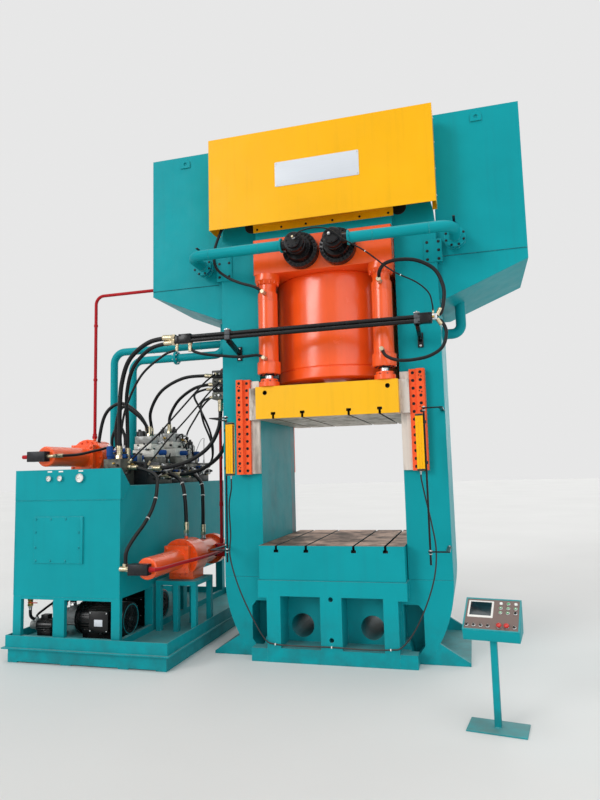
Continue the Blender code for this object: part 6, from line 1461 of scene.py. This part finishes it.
# lines between the three: points and radius
filterLines = (
    ([(-3.33, -1.22, 0.56), (-3.33, -1.22, 0.5), (-3.345, -1.19, 0.44), (-3.345, -1.14, 0.4),
        (-3.345, -1.13, 0.385)], 0.017),
    ([(-3.31, -1.13, 0.39), (-3.31, -1.13, 0.44), (-3.26, -1.06, 0.5), (-3.2, -0.98, 0.56), (-3.17, -0.93, 0.6),
        (-3.17, -0.92, 0.575)], 0.013),
    ([(-3.12, -0.86, 0.54), (-3.1, -0.82, 0.58), (-3.06, -0.74, 0.64), (-3.05, -0.7, 0.69),
        (-3.05, -0.7, tankFloor)], 0.015),
    ([(-3.27, -0.55, 0.38), (-3.27, -0.55, 0.44), (-3.27, -0.58, 0.55), (-3.24, -0.64, 0.64), (-3.24, -0.66, 0.69),
        (-3.24, -0.66, tankFloor)], 0.017),
)
# unions at the ends of those lines
filterUnions = (
    ((-3.33, -1.22, 0.56), downward),
    ((-3.31, -1.13, 0.385), upward),
    ((-3.345, -1.13, 0.38), upward),
    ((-3.05, -0.7, tankFloor), downward),
    ((-3.24, -0.66, tankFloor), downward),
    ((-3.27, -0.55, 0.38), upward),
)


def filterLoopDetail(look):
    # return filter, cooling pump and drain valve that stand in the tray under the tank
    x, y = look["filter"]
    addSpin("greyEnamel", [(0, 0), (0.085, 0), (0.085, 0.012), (0.07, 0.014), (0.072, 0.26), (0.078, 0.268),
        (0.078, 0.3), (0, 0.3)], Matrix.Translation((x, y, trayTop)), 40)
    addSpin("castAluminium", [(0, 0), (0.084, 0), (0.086, 0.006), (0.086, 0.05), (0.076, 0.06), (0.03, 0.064),
        (0.03, 0.08), (0, 0.08)], Matrix.Translation((x, y, trayTop + 0.3)), 40)
    screwRing("platedSteel", hexBolt, (x, y, trayTop + 0.35), upward, 0.066, 6, 0.008, 0.009)
    axis = look["pumpZ"]
    for k, (x, y) in enumerate(look["pumps"]):   # black motor with its pump on a foot
        r = 0.072 - 0.004 * k
        addSpin("blackEnamel", [(0, 0), (r * 0.9, 0), (r, 0.008), (r, 0.2), (r * 0.9, 0.21), (0, 0.21)],
            aim((x + 0.02, y, axis), toRight), 36)
        for i in range(look["ribs"]):
            place = Matrix.Translation((x + 0.02, y, axis)) @ Matrix.Rotation(2 * math.pi * i / look["ribs"], 4, "X")
            addBlock("blackEnamel", (0.02, -0.0018, r - 0.003), (0.19, 0.0018, r + 0.008), 0.0006, place)
        addSpin("castAluminium", [(0, 0), (0.062, 0), (0.062, 0.016), (0.048, 0.02), (0.048, 0.085), (0.036, 0.092),
            (0, 0.092)], aim((x + 0.018, y, axis), toLeft), 32)
        addBlock("blackEnamel", (x + 0.03, y - 0.05, trayTop), (x + 0.2, y + 0.05, axis - r * 0.8), 0.004)
        addBlock("blackEnamel", (x + 0.07, y - 0.04, axis + r * 0.9), (x + 0.16, y + 0.04, axis + r + 0.045), 0.005)
        stamp("platedSteel", hexBolt, [aim((x + dx, y + side * 0.043, trayTop + 0.012), upward, 0.007, 0.008)
            for dx in (0.045, 0.185) for side in (-1, 1)])
    # drain valve under the tank with its red handle, and the lines between the three
    x, y, z = look["drain"]
    addTube("platedSteel", [(x, y, tankFloor), (x, y, z)], 0.021, 20)
    addSpin("brass", [(0, 0), (0.032, 0, 6), (0.032, 0.02, 6), (0.026, 0.024), (0.026, 0.056), (0.032, 0.06, 6),
        (0.032, 0.08, 6), (0, 0.08)], Matrix.Translation((x, y, z)), 24)
    addBlock("redPlastic", (x - 0.005, y - 0.042, z + 0.037), (x + 0.115, y - 0.03, z + 0.047), 0.002)
    addSpin("platedSteel", pin(0.008, 0.03), aim((x, y - 0.006, z + 0.042), toFront), 16)
    for points, r in filterLines:
        addTube("hoseRubber", smoothRoute(points, 0.02), r, 16)
    for spot, way in filterUnions:
        addSpin("platedSteel", fitting(0.024, 0.018, 0.018, 0.022, 0.04), aim(spot, way), 20)
    finishPiece("filterLoop")


unitDetail(unitLook)
manifoldHoses()
pipeworkDetail()
boosterDetail(boosterLook)
motorDetail(motorLook)
filterLoopDetail(filterLook)
print("power unit is in")


consoleLook = {"turns": (-35, 35, -35, 0, 35, -35), "x": 1.563, "y": -2.137, "turn": -9.0, "wide": 0.42, "deep": 0.28,
    "low": 0.66, "frontTop": 0.745, "backTop": 0.925}


def consoleDetail(look):
    pivot = Matrix.Translation((look["x"], look["y"], 0)) @ Matrix.Rotation(math.radians(look["turn"]), 4, "Z")
    half, deep = look["wide"] / 2, look["deep"] / 2
    tilt = math.atan2(look["backTop"] - look["frontTop"], look["deep"])
    long = math.hypot(look["backTop"] - look["frontTop"], look["deep"])
    face = pivot @ Matrix.Translation((0, -deep, look["frontTop"])) @ Matrix.Rotation(tilt, 4, "X")
    profile = [(-deep, look["frontTop"]), (-deep + 0.03, look["low"]), (deep, look["low"] + 0.02),
        (deep + 0.01, look["backTop"] - 0.02), (deep, look["backTop"])]
    addPrism("tealEnamel", profile, "X", -half, half, 0.006, pivot)
    # raised rim round the panel, and the film with its devices inside it
    for low, high in (((-half, 0.0, -0.004), (-half + 0.012, long, 0.004)),
            ((half - 0.012, 0.0, -0.004), (half, long, 0.004)), ((-half + 0.012, 0.0, -0.004),
            (half - 0.012, 0.012, 0.004)), ((-half + 0.012, long - 0.012, -0.004), (half - 0.012, long, 0.004))):
        addBlock("tealEnamel", low, high, 0.002, face)
    addBlock("panelFilm", (-half + 0.012, 0.012, -0.002), (half - 0.012, long - 0.012, 0.0008), 0, face)
    bottom = look["low"]
    # post, foot, head plate, weld
    for x, y, low, high, edge in ((0.025, 0.025, 0.002, bottom + 0.03, 0.004), (0.22, 0.135, 0, 0.01, 0.003),
            (0.06, 0.06, bottom - 0.004, bottom + 0.01, 0.002), (0.029, 0.029, 0.008, 0.015, 0.003)):
        addBlock("tealEnamel", (-x, -y, low), (x, y, high), edge, pivot)
    # screen: white bezel, black glass
    addPrism("whitePlastic", roundedRect(-half + 0.1215, long - 0.119, 0.191, 0.172, 0.006), "Z", -0.001, 0.0065,
        0.002, face)
    addPrism("darkScreen", roundedRect(-half + 0.1215, long - 0.117, 0.162, 0.14, 0.003), "Z", 0.004, 0.0071, 0.0005,
        face)
    columns = (half - 0.15, half - 0.095, half - 0.04)
    rows = (long - 0.05, long - 0.098, long - 0.146, 0.045)

    def device(u, v, radius=0.0145):
        # turned silver bezel of a panel device
        addSpin("platedSteel", [(radius * 0.7, 0), (radius * 1.08, 0), (radius * 1.08, 0.002), (radius, 0.0055),
            (radius * 0.8, 0.0065), (radius * 0.7, 0.005)], face @ Matrix.Translation((u, v, 0.0006)), 32)

    for k, u in enumerate(columns):
        device(u, rows[0])
        addSpin("greenPlastic" if k == 1 else "whitePlastic", [(0, 0), (0.0105, 0), (0.0105, 0.006), (0.007, 0.009),
            (0, 0.01)], face @ Matrix.Translation((u, rows[0], 0.001)), 28)
    for k, (u, v) in enumerate(((columns[2], rows[2]), (columns[2], rows[3])) + tuple((-half + 0.03 + 0.052 * i,
            rows[3]) for i in range(4))):
        device(u, v)
        turn = face @ Matrix.Translation((u, v, 0.001)) @ Matrix.Rotation(math.radians(look["turns"][k]), 4, "Z")
        addSpin("blackPlastic", knob(0.0115, 0.006, 0.0098, 0.008), turn, 28)
        addBlock("blackPlastic", (-0.0035, -0.0115, 0.004), (0.0035, 0.0115, 0.0195), 0.0015, turn)
        addBlock("whitePlastic", (-0.0006, 0.003, 0.0193), (0.0006, 0.0112, 0.0198), 0, turn)
    buttons = ((columns[0], rows[1]), (columns[1], rows[1]), (columns[2], rows[1]), (columns[0], rows[2]),
        (columns[1], rows[2]))
    for u, v in buttons:
        device(u, v)
    for u in columns[:2]:
        device(u, rows[3], 0.017)
    finishPiece("consoleBody", ["console"])

    for k, (u, v) in enumerate(buttons):
        place = face @ Matrix.Translation((u, v, 0.006))
        addSpin("greenPlastic", [(0.0062, -0.0015), (0.0098, -0.0015), (0.0098, 0.0042), (0.009, 0.0052),
            (0.0062, 0.0052)], place, 28)
        addSpin("whitePlastic", [(0, -0.0015), (0.0064, -0.0015), (0.0064, 0.0036), (0.004, 0.003), (0, 0.0027)],
            place, 28)
        finishPiece("pushButton%d" % (k + 1), ["push_button_%d" % (k + 1)], "button_%d" % (k + 1))
    for name, u in zip(("left", "right"), columns):
        place = face @ Matrix.Translation((u, rows[3], 0.001))
        addSpin("redPlastic", [(0, 0.0052), (0.0098, 0.0052), (0.0098, 0.012), (0.013, 0.0145), (0.0195, 0.0155),
            (0.02, 0.018), (0.0196, 0.023), (0.0165, 0.027), (0.01, 0.0295), (0, 0.0302)], place, 40)
        finishPiece("emergencyStop" + name.title(), ["emergency_stop_" + name], "stop_" + name)


consoleDetail(consoleLook)
print("console is in")
